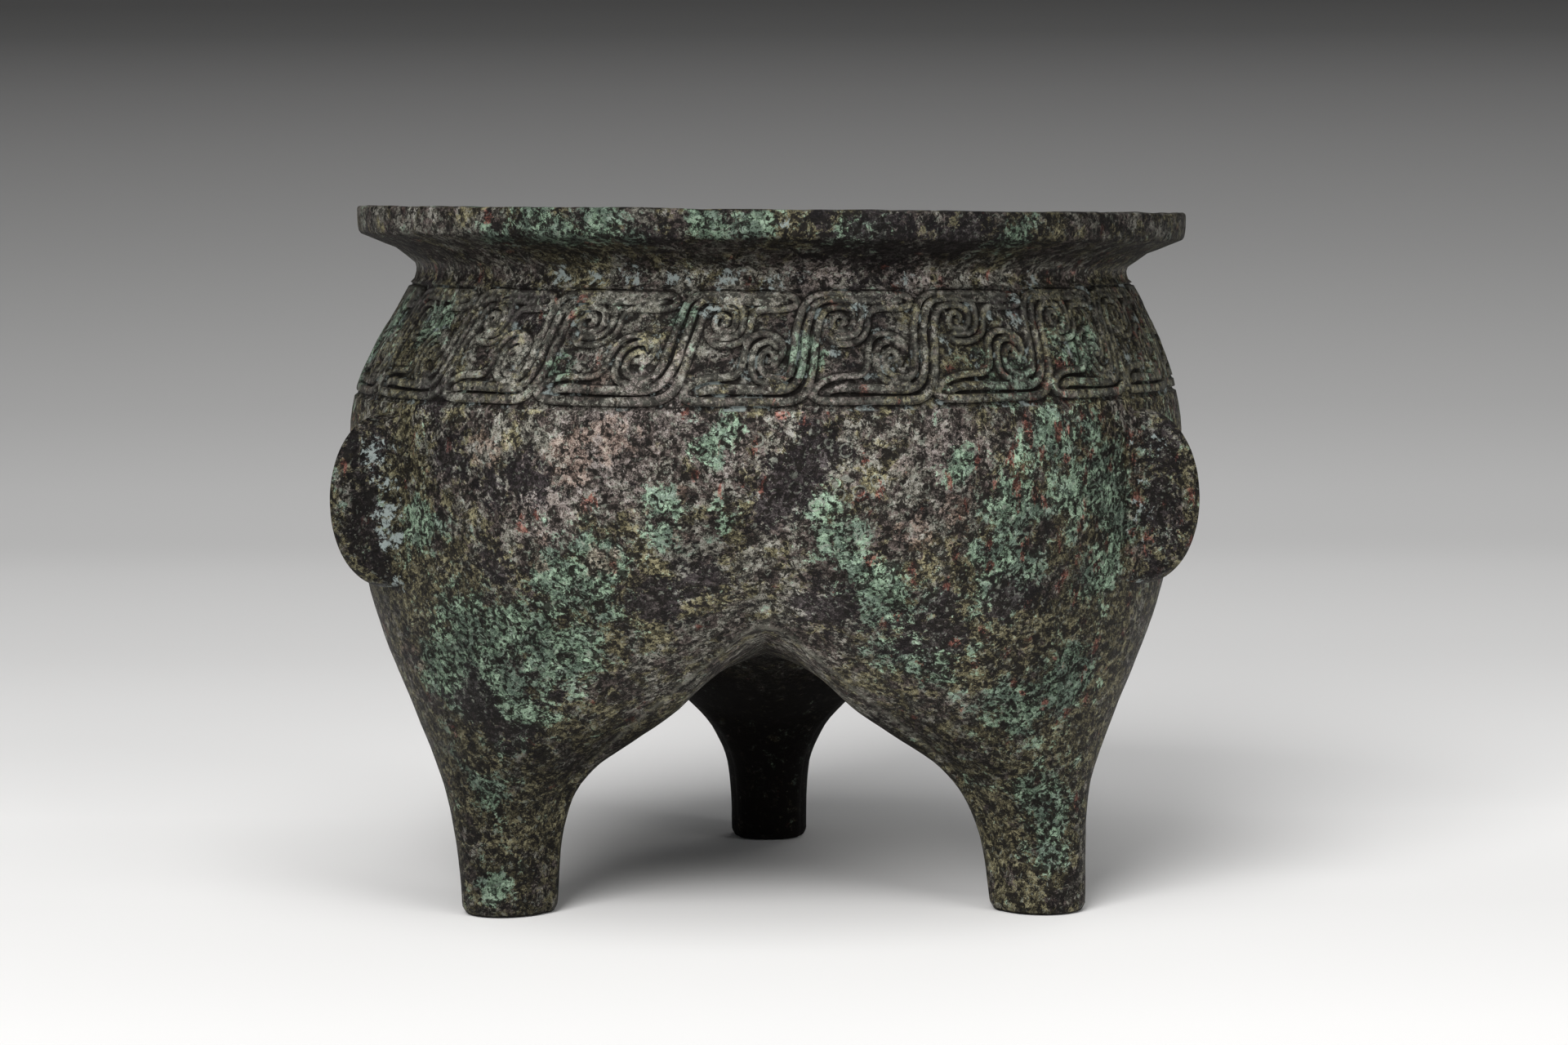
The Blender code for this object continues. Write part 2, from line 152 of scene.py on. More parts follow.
# One scroll as the middle lines of its ridges: across and up in the scroll's own units, and the extra half
# width in mm.  Each half has an outer ridge that turns back at the arm's tip, an inner one in the arm, its
# branch round the curl and the curl itself.
LOWER_RIDGES = (
    (
        (62, 0, 0.12), (52, -80, 0.12), (35, -170, 0.15), (12, -250, 0.2), (-20, -305, 0.25),
        (-75, -342, 0.3), (-150, -354, 0.3), (-400, -354, 0.3), (-640, -352, 0.3), (-735, -345, 0.25),
        (-782, -318, 0.15), (-775, -268, 0.1), (-725, -220, 0.1), (-640, -193, 0.1), (-540, -188, 0.1),
        (-470, -180, 0.1), (-432, -145, 0.05), (-415, -85, 0), (-405, -20, 0), (-388, 35, 0),
        (-350, 75, 0), (-290, 95, 0), (-228, 88, 0.05), (-180, 62, 0.1), (-155, 22, 0.1),
        (-155, -25, 0.05), (-175, -65, 0), (-200, -100, 0),
    ),
    (
        (-8, 0, 0.08), (-18, -90, 0.1), (-40, -170, 0.12), (-72, -232, 0.15), (-120, -268, 0.2),
        (-200, -280, 0.25), (-400, -275, 0.3), (-560, -268, 0.3), (-640, -270, 0.25), (-685, -285, 0.1),
    ),
    (
        (-150, -248, 0), (-205, -238, 0), (-260, -232, 0), (-310, -218, 0), (-343, -188, 0),
        (-358, -140, 0), (-357, -80, 0), (-345, -20, 0), (-315, 20, 0), (-265, 42, 0), (-215, 38, 0),
        (-194, 12, 0),
    ),
    (
        (-78, 0, 0.1), (-90, -90, 0.1), (-108, -160, 0.1), (-150, -198, 0.1), (-205, -197, 0.05),
        (-262, -180, 0), (-295, -142, 0), (-303, -92, 0), (-290, -47, 0), (-258, -18, 0), (-225, -25, 0),
        (-213, -55, 0), (-228, -82, 0), (-252, -82, 0),
    ),
)
UPPER_RIDGES = (
    (
        (-78, 0, 0.1), (-66, 100, 0.1), (-45, 195, 0.1), (-28, 262, 0.1), (-2, 320, 0.1), (45, 362, 0.1),
        (110, 380, 0.05), (200, 382, 0.05), (400, 376, 0.1), (600, 372, 0.15), (700, 368, 0.15),
        (755, 345, 0.1), (765, 310, 0.05), (735, 278, 0.1), (650, 266, 0.15), (540, 266, 0.15),
        (482, 252, 0.1), (452, 212, 0.05), (442, 150, 0), (420, 92, 0), (375, 50, 0), (315, 30, 0.05),
        (250, 28, 0.05), (200, 40, 0.05), (170, 68, 0),
    ),
    (
        (-8, 0, 0.08), (5, 100, 0.08), (25, 195, 0.08), (48, 272, 0.1), (90, 320, 0.1), (150, 334, 0.1),
        (250, 330, 0.1), (400, 324, 0.15), (560, 320, 0.15), (640, 320, 0.1), (682, 322, 0),
    ),
    (
        (300, 326, 0), (350, 312, 0), (382, 280, 0), (394, 235, 0), (391, 175, 0), (370, 118, 0),
        (325, 85, 0), (262, 76, 0), (212, 85, 0),
    ),
    (
        (62, 0, 0.1), (80, 100, 0.1), (100, 190, 0.1), (125, 243, 0.08), (165, 274, 0.05),
        (235, 281, 0.05), (295, 272, 0.05), (330, 243, 0), (340, 195, 0), (330, 148, 0), (298, 125, 0),
        (245, 120, 0), (205, 137, 0), (190, 175, 0), (205, 213, 0), (240, 226, 0), (272, 208, 0),
        (274, 175, 0), (250, 162, 0),
    ),
)

# Half widths of a ridge's top and foot, and distances between the band's mesh points, in mm
RIDGE_TOP = 0.48
RIDGE_FOOT = 0.72
RIDGE_STEP = 0.6
GROUND_STEP = 0.85
NEAREST = 0.19
BORDER = 0.35
FAR = 9.0

# Patches of the front, as azimuth from the front toward +X, height and radius in mm
GREEN_PATCHES = (
    (-23, 74, 6), (-27, 69, 7), (-35, 60, 7), (-43, 58, 9), (-51, 51, 7), (-43, 48, 8), (-31, 55, 7),
    (-13, 85, 3.4), (-13, 80, 3), (8, 85, 3.4), (10, 79, 6), (13.5, 72, 5.4), (18, 65, 5.4), (19, 52, 6),
    (25, 50, 6), (-4, 100, 3.4), (-7.5, 96, 3), (-5, 82, 3.4), (26, 92, 3), (34, 84, 7), (34, 73, 7),
    (40, 96, 7), (45, 86, 6), (-54, 7, 3.6), (-52, 25, 3.6), (42, 43, 6), (48, 49, 6), (-31, 72, 3.4),
    (-50, 80, 5), (50, 23, 6), (52, 16, 5), (-38, 133.5, 4), (-27, 133.5, 5), (-17, 133.5, 4),
    (-32, 138, 5), (-22, 138, 4), (-8, 138.5, 4), (-2, 138, 3), (12, 135.5, 4), (33, 135, 4), (5, 112, 4),
    (50, 90, 6), (52, 79, 6), (50, 70, 5), (47, 98, 4), (35, 107, 5), (48, 112, 5), (-29, 110, 3),
    (-12, 120, 3), (-57, 118, 4),
)
DARK_PATCHES = (
    (-38, 72, 4.2), (-42, 93, 3.6), (-31, 89, 5), (-37, 87, 3.4), (-45, 93, 4), (3, 89, 6), (7, 94, 5),
    (1, 85, 5), (-9, 69, 5.4), (-16, 66, 6), (8.5, 64, 6), (21, 57, 6), (26, 57, 6), (28, 50, 4),
    (34, 65, 4.6), (-48, 45, 6), (-34, 43, 4.8), (26, 65, 3.4), (5, 99, 3), (59, 80, 3.4), (-44, 38, 5),
    (-38, 122, 6), (38, 122, 4), (12, 131, 12), (24, 132, 8), (-14, 131, 6), (-50, 104, 5),
)
RED_PATCHES = (
    (-33, 81, 2.1), (-54, 87, 1.3), (-49, 90, 1.1), (18.5, 91, 1.1), (15, 74, 1.8), (18, 72, 1),
    (12.5, 86, 1.8), (42, 92.5, 1.3), (45, 97, 1.3), (57, 83, 2.2), (46, 44, 1.5), (45, 54, 1.5),
    (49, 70, 1.5), (42, 46, 1.1), (-9, 91, 1.5), (5, 101, 1.6), (51, 60, 1.5), (51, 42, 1.8),
    (13, 94, 1.5), (-3, 88, 1.2), (37, 55, 1.2), (59, 86, 1.5), (57, 69, 1.6), (56, 91, 1.6),
    (56.5, 84, 1.8), (56, 77, 1.6), (55.5, 96, 1.4), (56, 73, 1.4), (9, 122, 1.4), (-28, 123, 1.4),
    (44, 110, 1.8), (-39, 139, 1.8), (33, 109, 1.2),
)
TAN_PATCHES = (
    (-38, 95, 4.2), (-20, 97, 7), (-25, 94, 6), (-11.5, 78.5, 2.6), (-22, 75, 4.4), (-31, 75, 4),
    (26, 84, 5.4), (20, 80, 4.6), (-59, 53, 4.6), (-11, 88, 2.2), (52.5, 13, 2.4), (-44, 30, 4),
    (-22, 108, 5), (62, 90, 5), (66, 75, 4), (56.5, 95, 3), (57, 88, 3), (56.5, 80, 3), (56.5, 73, 3),
)
OLIVE_PATCHES = (
    (-57, 76, 20), (-50, 60, 18), (-50, 28, 26), (45, 60, 25), (54, 85, 16), (50, 24, 26), (30, 60, 12),
    (-25, 64, 14), (-60, 112, 12), (48, 112, 12), (30, 112, 10), (-30, 136, 12), (5, 136, 10),
    (35, 136, 10),
)
LILAC_PATCHES = (
    (-20, 95, 12), (-6, 97, 8), (24, 95, 9), (-30, 84, 9), (-15, 105, 8), (10, 108, 6), (6, 128, 8),
    (20, 128, 6),
)
STREAK_PATCHES = ((40, 76, 18), (52, 76, 17), (45, 56, 15), (36, 90, 10), (44, 108, 12), (57, 92, 12))
BLISTER_PATCHES = ((7, 92, 8), (2, 96, 6), (12, 87, 6), (10, 79, 4), (14, 77, 4))

CHALK_PATCHES = (
    (-33, 128, 3), (-27, 127.5, 2.5), (-21, 128.5, 3), (-14, 127.5, 3), (-7, 128, 3.4), (0, 127, 3),
    (4, 128, 2.4), (20, 127.5, 2.4), (43, 127, 2.4), (-8, 121, 2.6), (12.5, 121, 2.4), (38, 123, 2),
    (38, 118, 1.8), (2, 138.5, 1.6), (-57.5, 92, 2), (-57.5, 80, 2.6), (-58, 76, 2.2), (-57, 67, 2),
)

# Chalky spots on a flange's faces, as distance out from the belly, height and radius in mm
FLANGE_CHALK = ((3.4, 93, 3.5), (1.2, 81, 3.4), (0.8, 76, 3), (1.2, 67, 2.6), (1.5, 87, 2))

# Stains of the skin: the mesh's attribute, the front's patches, and how many more the sides and back get,
# with the smallest and largest radius in mm
STAINS = (
    ("olive", OLIVE_PATCHES, 16, 14, 24),
    ("lilac", LILAC_PATCHES, 10, 8, 14),
    ("streak", STREAK_PATCHES, 6, 12, 18),
    ("blister", BLISTER_PATCHES, 8, 6, 10),
    ("malachite", GREEN_PATCHES, 70, 4, 9),
    ("bare", DARK_PATCHES, 60, 3, 7),
    ("cuprite", RED_PATCHES, 60, 1, 2.2),
    ("tan", TAN_PATCHES, 30, 3, 6),
)

# Noise fields of the patina: features per mm, detail, roughness and distortion
NOISES = {
    "broad": (0.04, 5.0, 0.6, 0.8),
    "middle": (0.16, 8.0, 0.66, 0.6),
    "small": (0.5, 6.0, 0.72, 0.5),
    "fine": (1.5, 5.0, 0.75, 0.2),
    "dust": (4.5, 3.0, 0.75, 0.0),
    "other": (0.11, 8.0, 0.7, 0.4),
    "pitting": (0.44, 4.0, 0.66, 1.2),
    "speckle": (1.0, 4.0, 0.68, 0.5),
    "powder": (0.22, 7.0, 0.72, 0.0),
}

# Cells per mm of the crust's flakes, its chips, the red streaks, the blisters and the small holes
FLAKE_SCALE = 0.42
CHIP_SCALE = 1.15
STREAK_SCALE = 0.75
BLISTER_SCALE = 0.27
HOLE_SCALE = 0.62
STREAK_STRETCH = (1.0, 1.0, 0.4)

# Coats of the patina, of the painted highlights and of the painted shade: the values between which each
# comes in, and its strength
COATS = {
    "grey": (0.46, 0.52, 1.0),
    "olive": (0.1, 0.2, 1.0),
    "lilac": (0.34, 0.46, 0.85),
    "malachite": (-0.06, 0.06, 1.0),
    "crust": (0.53, 0.61, 0.92),
    "tan": (0.55, 0.72, 0.75),
    "bare": (0.46, 0.52, 0.93),
    "spots": (0.6, 0.7, 0.9),
    "streaks": (0.99, 0.995, 0.9),
    "rings": (0.45, 0.6, 0.65),
    "pits": (0.56, 0.572, 0.92),
    "specks": (0.585, 0.602, 0.9),
    "holes": (0.25, 0.21, 0.93),
    "frost": (0.395, 0.375, 0.55),
    "ridges": (0.36, 0.6, 0.36),
    "groove_shade": (0.74, 0.5, 1.0),
    "bloom": (0.56, 0.64, 0.7),
    "chalk": (0.54, 0.64, 0.88),
    "painted_shade": (0.9, 0.5, 1.0),
    "wear_and_edge_highlight": (0.4, 0.52, 0.75),
}

# Colours of the skin and of its pits, beside those that the panel offers, and of the painted highlights and
# painted shade
BROWN = (0.05, 0.039, 0.034)
OLIVE = (0.09, 0.079, 0.044)
LILAC = (0.115, 0.094, 0.086)
TEAL = (0.078, 0.112, 0.084)
BLACK = (0.021, 0.016, 0.017)
GREEN_PIT = (0.016, 0.024, 0.017)
TEAL_PIT = (0.012, 0.018, 0.014)
BLACK_PIT = (0.008, 0.006, 0.007)
TAN_PIT = (0.03, 0.018, 0.013)
RED_PIT = (0.04, 0.012, 0.009)
RING_GREY = (0.19, 0.2, 0.17)
FROST_GREY = (0.22, 0.235, 0.195)
# Painted highlight on the tops of the band's ridges
RIDGE_HIGHLIGHT_GREY = (0.16, 0.162, 0.136)
# Painted highlight along the edge under each arch
EDGE_HIGHLIGHT_GREY = (0.16, 0.158, 0.128)
# Painted shade in the band's grooves
GROOVE_SHADE = (0.005, 0.004, 0.003)
# Painted shade: near-black laid on undersides, the back leg's front, under the lip and inside the vessel
PAINTED_SHADE_COLOUR = (0.0035, 0.0025, 0.002)

# How much each mask and noise raises the surface, and how much it roughens it
HEIGHTS = {
    "crust": 0.3,
    "pits": -0.45,
    "specks": -0.4,
    "holes": -0.4,
    "rings": 0.5,
    "small": 0.5,
    "fine": 0.5,
    "dust": 0.3,
}
BUMP_DISTANCE = 0.0008
ROUGHEST = 0.8
SMOOTHEST = 0.38
SPECULAR = 0.1

# Camera, fitted to the photograph: its middle row and its focal length are in the photograph's pixels
CAMERA_ASIDE = 0.00405
CAMERA_HEIGHT = 0.1395
CAMERA_TILT = 4.76
CAMERA_ROLL = 0.3
LENS = 86.2
SENSOR = 36.0
MIDDLE_ROW = 640.0
FOCAL_ROWS = 4599.0

# Paper's reflectance by the row of the photograph that shows it: painted light and shade, pale on the floor
# and dark up the wall
PAPER_PAINTED_LIGHT = (
    (-400, 0.048), (20, 0.079), (100, 0.165), (180, 0.235), (240, 0.282), (300, 0.329), (400, 0.422),
    (500, 0.521), (600, 0.66), (700, 0.763), (800, 0.766), (900, 0.864), (1000, 0.912), (1050, 0.85),
    (1100, 0.822), (1180, 0.837), (1250, 0.862),
)
PAPER_TINT = (1.0, 0.988, 0.975)

# Backdrop in metres: floor's height and near edge, start of its close rows, bend's start and radius, top
FLOOR = -0.0003
FLOOR_START = -9.0
ROWS_START = -2.6
BEND_START = 0.8
BEND_RADIUS = 1.2
WALL_HEIGHT = 3.7
SHEET_ASIDE = (-9.0, -1.3, 1.3, 9.0)

# Lights: name, place and size in metres, and power in watts
LAMPS = (
    ("key", (-0.7, -1.7, 1.35), 1.2, 66.0),
    ("fill", (1.3, -1.4, 0.8), 1.1, 20.0),
    ("top", (0.0, -0.8, 1.9), 1.2, 22.0),
    ("back", (0.6, 1.9, 1.3), 1.4, 9.0),
)
SKY = (0.9, 0.95, 1.0, 1.0)
SKY_STRENGTH = 0.16


class TripodFormSettings(bpy.types.PropertyGroup):
    """Sizes of the casting's fine surface."""

    relief: FloatProperty(
        name="Scroll depth",
        description="Depth of the ground between the scrolls' ridges",
        default=0.00088,
        min=0.0,
        max=0.002,
        unit="LENGTH",
    )
    wobble: FloatProperty(
        name="Hand-made wobble",
        description="How far the wall wanders from its true form",
        default=0.00032,
        min=0.0,
        max=0.002,
        unit="LENGTH",
    )
    lip_wear: FloatProperty(
        name="Lip wear",
        description="How deep the nicks in the lip's top edge go",
        default=0.0005,
        min=0.0,
        max=0.003,
        unit="LENGTH",
    )
    seed: IntProperty(
        name="Seed",
        description="Choice of the patches on the sides that the front view doesn't show",
        default=7,
        min=0,
    )


class TripodPatinaSettings(bpy.types.PropertyGroup):
    """Colours and grain of the patina."""

    dark: FloatVectorProperty(
        name="Dark bronze",
        description="Nearly black brown of the bare old metal",
        subtype="COLOR",
        default=(0.009, 0.0075, 0.006),
    )
    grey: FloatVectorProperty(
        name="Grey skin",
        description="Grey skin over most of the belly",
        subtype="COLOR",
        default=(0.104, 0.098, 0.08),
    )
    green: FloatVectorProperty(
        name="Malachite",
        description="Pale green crust",
        subtype="COLOR",
        default=(0.138, 0.2, 0.14),
    )
    red: FloatVectorProperty(
        name="Cuprite",
        description="Reddish spots",
        subtype="COLOR",
        default=(0.105, 0.036, 0.026),
    )
    tan: FloatVectorProperty(
        name="Tan stain",
        description="Warm worn places",
        subtype="COLOR",
        default=(0.122, 0.085, 0.068),
    )
    chalk: FloatVectorProperty(
        name="Chalk",
        description="Pale bloom in the hollows",
        subtype="COLOR",
        default=(0.24, 0.28, 0.27),
    )
    grain: FloatProperty(
        name="Grain",
        description="Strength of the pitted skin",
        default=0.55,
        min=0.0,
        max=2.0,
    )


class TripodStageSettings(bpy.types.PropertyGroup):
    """Floor and light."""

    light: FloatProperty(
        name="Light",
        description="Strength of the studio light",
        default=0.72,
        min=0.0,
        max=10.0,
    )
    distance: FloatProperty(
        name="Camera distance",
        description="From the vessel's axis to the camera",
        default=0.774,
        min=0.2,
        max=10.0,
        unit="LENGTH",
    )


def table(xs, ys):
    """Return a smooth function through the points that never overshoots them, for numbers and arrays."""
    xs, ys = np.array(xs, float), np.array(ys, float)
    width = np.diff(xs)
    steps = np.diff(ys) / width
    slopes = np.zeros(len(xs))
    slopes[0], slopes[-1] = steps[0], steps[-1]
    for i in range(1, len(xs) - 1):
        a, b = steps[i - 1], steps[i]
        slopes[i] = 2 * a * b / (a + b) if a * b > 0 else 0.0

    def value(x):
        x = np.clip(x, xs[0], xs[-1])
        i = np.clip(np.searchsorted(xs, x, side="left") - 1, 0, len(xs) - 2)
        h = width[i]
        t = (x - xs[i]) / h
        return (
            (2 * t**3 - 3 * t**2 + 1) * ys[i]
            + (t**3 - 2 * t**2 + t) * h * slopes[i]
            + (3 * t**2 - 2 * t**3) * ys[i + 1]
            + (t**3 - t**2) * h * slopes[i + 1]
        )

    return value


def ease(t):
    """Smooth step from 0 to 1, for numbers and arrays."""
    t = np.clip(t, 0.0, 1.0)
    return t * t * (3 - 2 * t)


def climb(value, low, high):
    """Smooth step from 0 to 1 as a value goes from low to high."""
    return ease((value - low) / (high - low))


class Skin:
    """One skin of the vessel, as functions of height in the frame of one leg plane."""

    def __init__(self, numbers, inset):
        self.centre = table(numbers["z"], numbers["centre"])
        self.outer_reach = table(numbers["z"], numbers["reach"])
        self.outer_half = table(numbers["z"], numbers["half"])
        self.inset = inset
        self.floor_z = POUCH_FLOOR if inset else 0.0
        self.apex_z = numbers["apex_z"] + 1.8 * inset
        self.dip = numbers["dip"]
        self.base_z = numbers["base_z"] + 1.25 * inset
        self.sag = 1.8 - 0.12 * inset
        self.leg_angle = math.radians(numbers["leg_angle"] - 4.0 * inset)
        self.base_line = self.line_under(numbers["base_line_r"], numbers["base_line_z"])

    def line_under(self, radii, heights):
        """The line under the leg plane: distance from the axis as a function of height."""
        if not self.inset:
            return table(heights, radii)
        moved = [(float(self.centre(self.floor_z)) - 3.0, self.floor_z)]
        for i in range(1, len(radii)):
            low, high = i - 1, min(i + 1, len(radii) - 1)
            along, rise = radii[high] - radii[low], heights[high] - heights[low]
            size = math.hypot(along, rise)
            if i == len(radii) - 1:
                along, rise, size = -1.0, 0.0, 1.0
            r = radii[i] + self.inset * rise / size
            z = heights[i] - self.inset * along / size
            r += (float(self.centre(z)) - r) * (1.0 - float(self.closing(z)))
            if z > moved[-1][1] + 0.5 and r < moved[-1][0] and z < self.base_z - 0.5:
                moved.append((r, z))
        moved.append((0.0, self.base_z))
        return table([z for _, z in moved], [r for r, _ in moved])

    def closing(self, z):
        """Share of the full width left where the hollow ends."""
        if not self.inset:
            return np.ones_like(z)
        t = np.clip((z - self.floor_z) / POUCH_ROUNDING, 0.0, 1.0)
        return 0.3 + 0.7 * np.sqrt(1.0 - (1.0 - t) ** 2)

    def thinned(self, value, z):
        """A size of the outer skin, less the wall."""
        slope = value(z + 0.5) - value(z - 0.5)
        return value(z) - self.inset * np.hypot(1.0, slope)

    def ellipse(self, z):
        """Centre and both half axes of the section."""
        centre = self.centre(z)
        share = self.closing(z)
        reach = self.thinned(self.outer_reach, z) - centre
        return centre, reach * share, self.thinned(self.outer_half, z) * share

    def arch_angle(self, z):
        """Angle on the ellipse where it meets the plane between two lobes."""
        c, a, b = self.ellipse(z)
        k = np.sqrt(b * b + 3 * a * a)
        return np.arctan2(math.sqrt(3) * a, b) + np.arcsin(np.minimum(1.0, math.sqrt(3) * c / k))

    def points(self, z, angle):
        """Points of the lobe's outside: along the leg plane, across it, height."""
        c, a, b = self.ellipse(z)
        return np.stack([c + a * np.cos(angle), b * np.sin(angle), z + 0.0 * angle], -1)

    def radius(self, azimuth, z):
        """Distance from the vessel axis at azimuths in radians, above the arches."""
        third = math.radians(120)
        turn = (azimuth - math.radians(LEG_AZIMUTHS[0])) % third
        turn = np.minimum(turn, third - turn)
        c, a, b = self.ellipse(z)
        co, si = np.cos(turn), np.sin(turn)
        p = (co / a) ** 2 + (si / b) ** 2
        q = c * co / a**2
        return (q + np.sqrt(q * q - p * ((c / a) ** 2 - 1))) / p

    def crease(self, k):
        """Height and angle of the line under the lobe, from the arch's apex (0) down to the foot (1)."""
        z = self.apex_z + (self.floor_z - self.apex_z) * k
        start = float(self.arch_angle(self.apex_z))
        return z, start + (self.leg_angle - start) * float(ease((self.apex_z - z) / LEG_BLEND))

    def up_patch(self, top_z, rows):
        """Grid from a level ring at the top down to the arch's apex."""
        grid = []
        u = np.linspace(0, 1, COLUMNS + 1)
        for t in np.linspace(0, 1, rows + 1):
            arch_z = top_z + (self.apex_z - top_z) * t
            leg_z = top_z + (self.apex_z - self.dip - top_z) * t
            z = leg_z + (arch_z - leg_z) * ease(u)
            grid.append(self.points(z, u * self.arch_angle(z)))
        return np.array(grid)

    def leg_patch(self, levels):
        """Grid from the apex row down the outside of the leg to the crease."""
        grid = []
        u = np.linspace(0, 1, COLUMNS + 1)
        for k in levels:
            crease_z, crease_angle = self.crease(k)
            leg_z = self.apex_z - self.dip + (self.floor_z - self.apex_z + self.dip) * k
            z = leg_z + (crease_z - leg_z) * ease(u)
            share = float(ease(k * 8.0))
            turn = (self.arch_angle(z) / self.arch_angle(np.float64(crease_z))) ** (1 - share)
            angle = u * crease_angle * turn
            grid.append(self.points(z, angle))
        return np.array(grid)

    def base_patch(self, levels):
        """Grid from the crease across the underside to the line under the leg plane."""
        grid = []
        v = np.linspace(0, 1, BASE_COLUMNS + 1)
        for k in levels:
            crease_z, crease_angle = self.crease(k)
            along, across, height = self.points(np.float64(crease_z), np.float64(crease_angle))
            line_z = self.base_z + (self.floor_z - self.base_z) * k
            line_r = float(self.base_line(line_z))
            leg = float(ease((self.apex_z - crease_z) / BASE_BLEND))
            flat, turn = 1 - v, v * math.pi / 2
            wide = flat * (1 - leg) + np.cos(turn) * leg
            deep = flat * (1 - leg) + (1 - np.sin(turn)) * leg
            rise = flat**self.sag * (1 - leg) + flat * leg
            row = [line_r + (along - line_r) * deep, across * wide, line_z + (height - line_z) * rise]
            row[1][-1] = 0.0
            grid.append(np.stack(row, -1))
        return np.array(grid)


OUTER_SKIN = Skin(LOBE, 0.0)
INNER_SKIN = Skin(LOBE, WALL)


class Casting:
    """Collects points and faces, joining points that coincide."""

    def __init__(self):
        self.points = []
        self.sunk = []
        self.gaps = []
        self.faces = []
        self.index = {}

    def add(self, point, sunk=0.0, gap=FAR):
        """Index of a point."""
        key = (round(point[0] * 1000), round(point[1] * 1000), round(point[2] * 1000))
        found = self.index.get(key)
        if found is None:
            found = len(self.points)
            self.index[key] = found
            self.points.append((float(point[0]), float(point[1]), float(point[2])))
            self.sunk.append(float(sunk))
            self.gaps.append(float(gap))
        return found

    def face(self, corners):
        """Add a face, leaving out repeated corners."""
        ring = list(dict.fromkeys(corners))
        if len(ring) > 2:
            self.faces.append(ring)

    def grid(self, rows, azimuth, side):
        """Add a grid of quads given in a leg plane's frame."""
        turn = math.radians(azimuth)
        co, si = math.cos(turn), math.sin(turn)
        across = rows[..., 1] * side
        x = rows[..., 0] * co - across * si
        y = rows[..., 0] * si + across * co
        placed = np.stack([x, y, rows[..., 2]], -1)
        made = [[self.add(point) for point in row] for row in placed]
        for upper, lower in zip(made, made[1:]):
            for j in range(len(upper) - 1):
                self.face((upper[j], upper[j + 1], lower[j + 1], lower[j]))
        return made

    def rings(self, last, rings):
        """Join a ring to the next ones, all with the same number of points."""
        for ring in rings:
            for j in range(len(ring)):
                k = (j + 1) % len(ring)
                self.face((last[j], last[k], ring[k], ring[j]))
            last = ring
        return last

    def skin(self, skin, top_z, rows, levels):
        """Add the six half lobes of a skin and close each leg.  Returns the ring at the top."""
        ring = {}
        for azimuth in LEG_AZIMUTHS:
            bottom = {}
            for side in (1, -1):
                made = self.grid(skin.up_patch(top_z, rows), azimuth, side)
                for index in made[0]:
                    x, y, _ = self.points[index]
                    ring[index] = math.atan2(y, x)
                legs = self.grid(skin.leg_patch(levels), azimuth, side)
                base = self.grid(skin.base_patch(levels), azimuth, side)
                bottom[side] = legs[-1] + base[-1][1:]
            loop = list(dict.fromkeys(bottom[1] + bottom[-1][::-1]))
            middle = np.mean([self.points[i] for i in loop], axis=0)
            for share in (0.9, 0.7, 0.4):
                inner = [self.add(middle + (np.array(self.points[i]) - middle) * share) for i in loop]
                loop = self.rings(loop, [inner])
            self.face(loop)
        return sorted(ring, key=ring.get)


def scroll_azimuths():
    """Azimuth of every scroll's shaft, in degrees from the front."""
    step = (360.0 + FRONT_SCROLLS[0] - FRONT_SCROLLS[-1]) / (HIDDEN_SCROLLS + 1)
    return list(FRONT_SCROLLS) + [FRONT_SCROLLS[-1] + step * (i + 1) for i in range(HIDDEN_SCROLLS)]


def smooth_line(points, step):
    """Points at even steps along a smooth curve through the given ones, with their extra half width."""
    p = np.array(points, float)
    p = np.vstack([2 * p[0] - p[1], p, 2 * p[-1] - p[-2]])
    dense = []
    for i in range(1, len(p) - 2):
        for t in np.linspace(0, 1, 12, endpoint=False):
            a, b, c, d = p[i - 1], p[i], p[i + 1], p[i + 2]
            bend = (2 * a - 5 * b + 4 * c - d) * t**2 + (3 * b - a - 3 * c + d) * t**3
            dense.append(0.5 * (2 * b + (c - a) * t + bend))
    dense.append(p[-2])
    dense = np.array(dense)
    run = np.concatenate([[0], np.cumsum(np.linalg.norm(np.diff(dense[:, :2], axis=0), axis=1))])
    count = max(2, int(round(run[-1] / step)) + 1)
    at = np.linspace(0, run[-1], count)
    return np.stack([np.interp(at, run, dense[:, column]) for column in range(3)], -1)


def band_ridges(rng):
    """Middle lines of all ridges: distance round the band, distance up it and extra half width, in mm."""
    shafts = scroll_azimuths()
    count = len(shafts)
    even = 360.0 / count
    lines = []
    for unit in range(count):
        right = ((shafts[(unit + 1) % count] - shafts[unit]) % 360.0) / even
        left = ((shafts[unit] - shafts[unit - 1]) % 360.0) / even
        sway = rng.uniform(-6, 6, 4)
        for ridge in LOWER_RIDGES + UPPER_RIDGES:
            p = np.array(ridge, float)
            far = np.minimum(1.0, np.abs(p[:, 1]) / 120.0 + np.abs(p[:, 0]) / 300.0)
            x = p[:, 0] + far * 9.0 * np.sin(p[:, 1] / 110.0 + sway[0])
            y = p[:, 1] + far * 6.0 * np.sin(p[:, 0] / 130.0 + sway[1]) * (1 - (p[:, 1] / 420.0) ** 2)
            x *= SCROLL_SCALE * np.where(x > 0, right, left)
            y = (0.5 + 0.5 * y / SCROLL_HALF_HEIGHT) * BAND_RISE
            line = smooth_line(np.stack([x, y, p[:, 2]], -1), RIDGE_STEP)
            line[:, 0] += math.radians(shafts[unit] - 90.0) * BAND_RADIUS
            lines.append(line)
    return lines


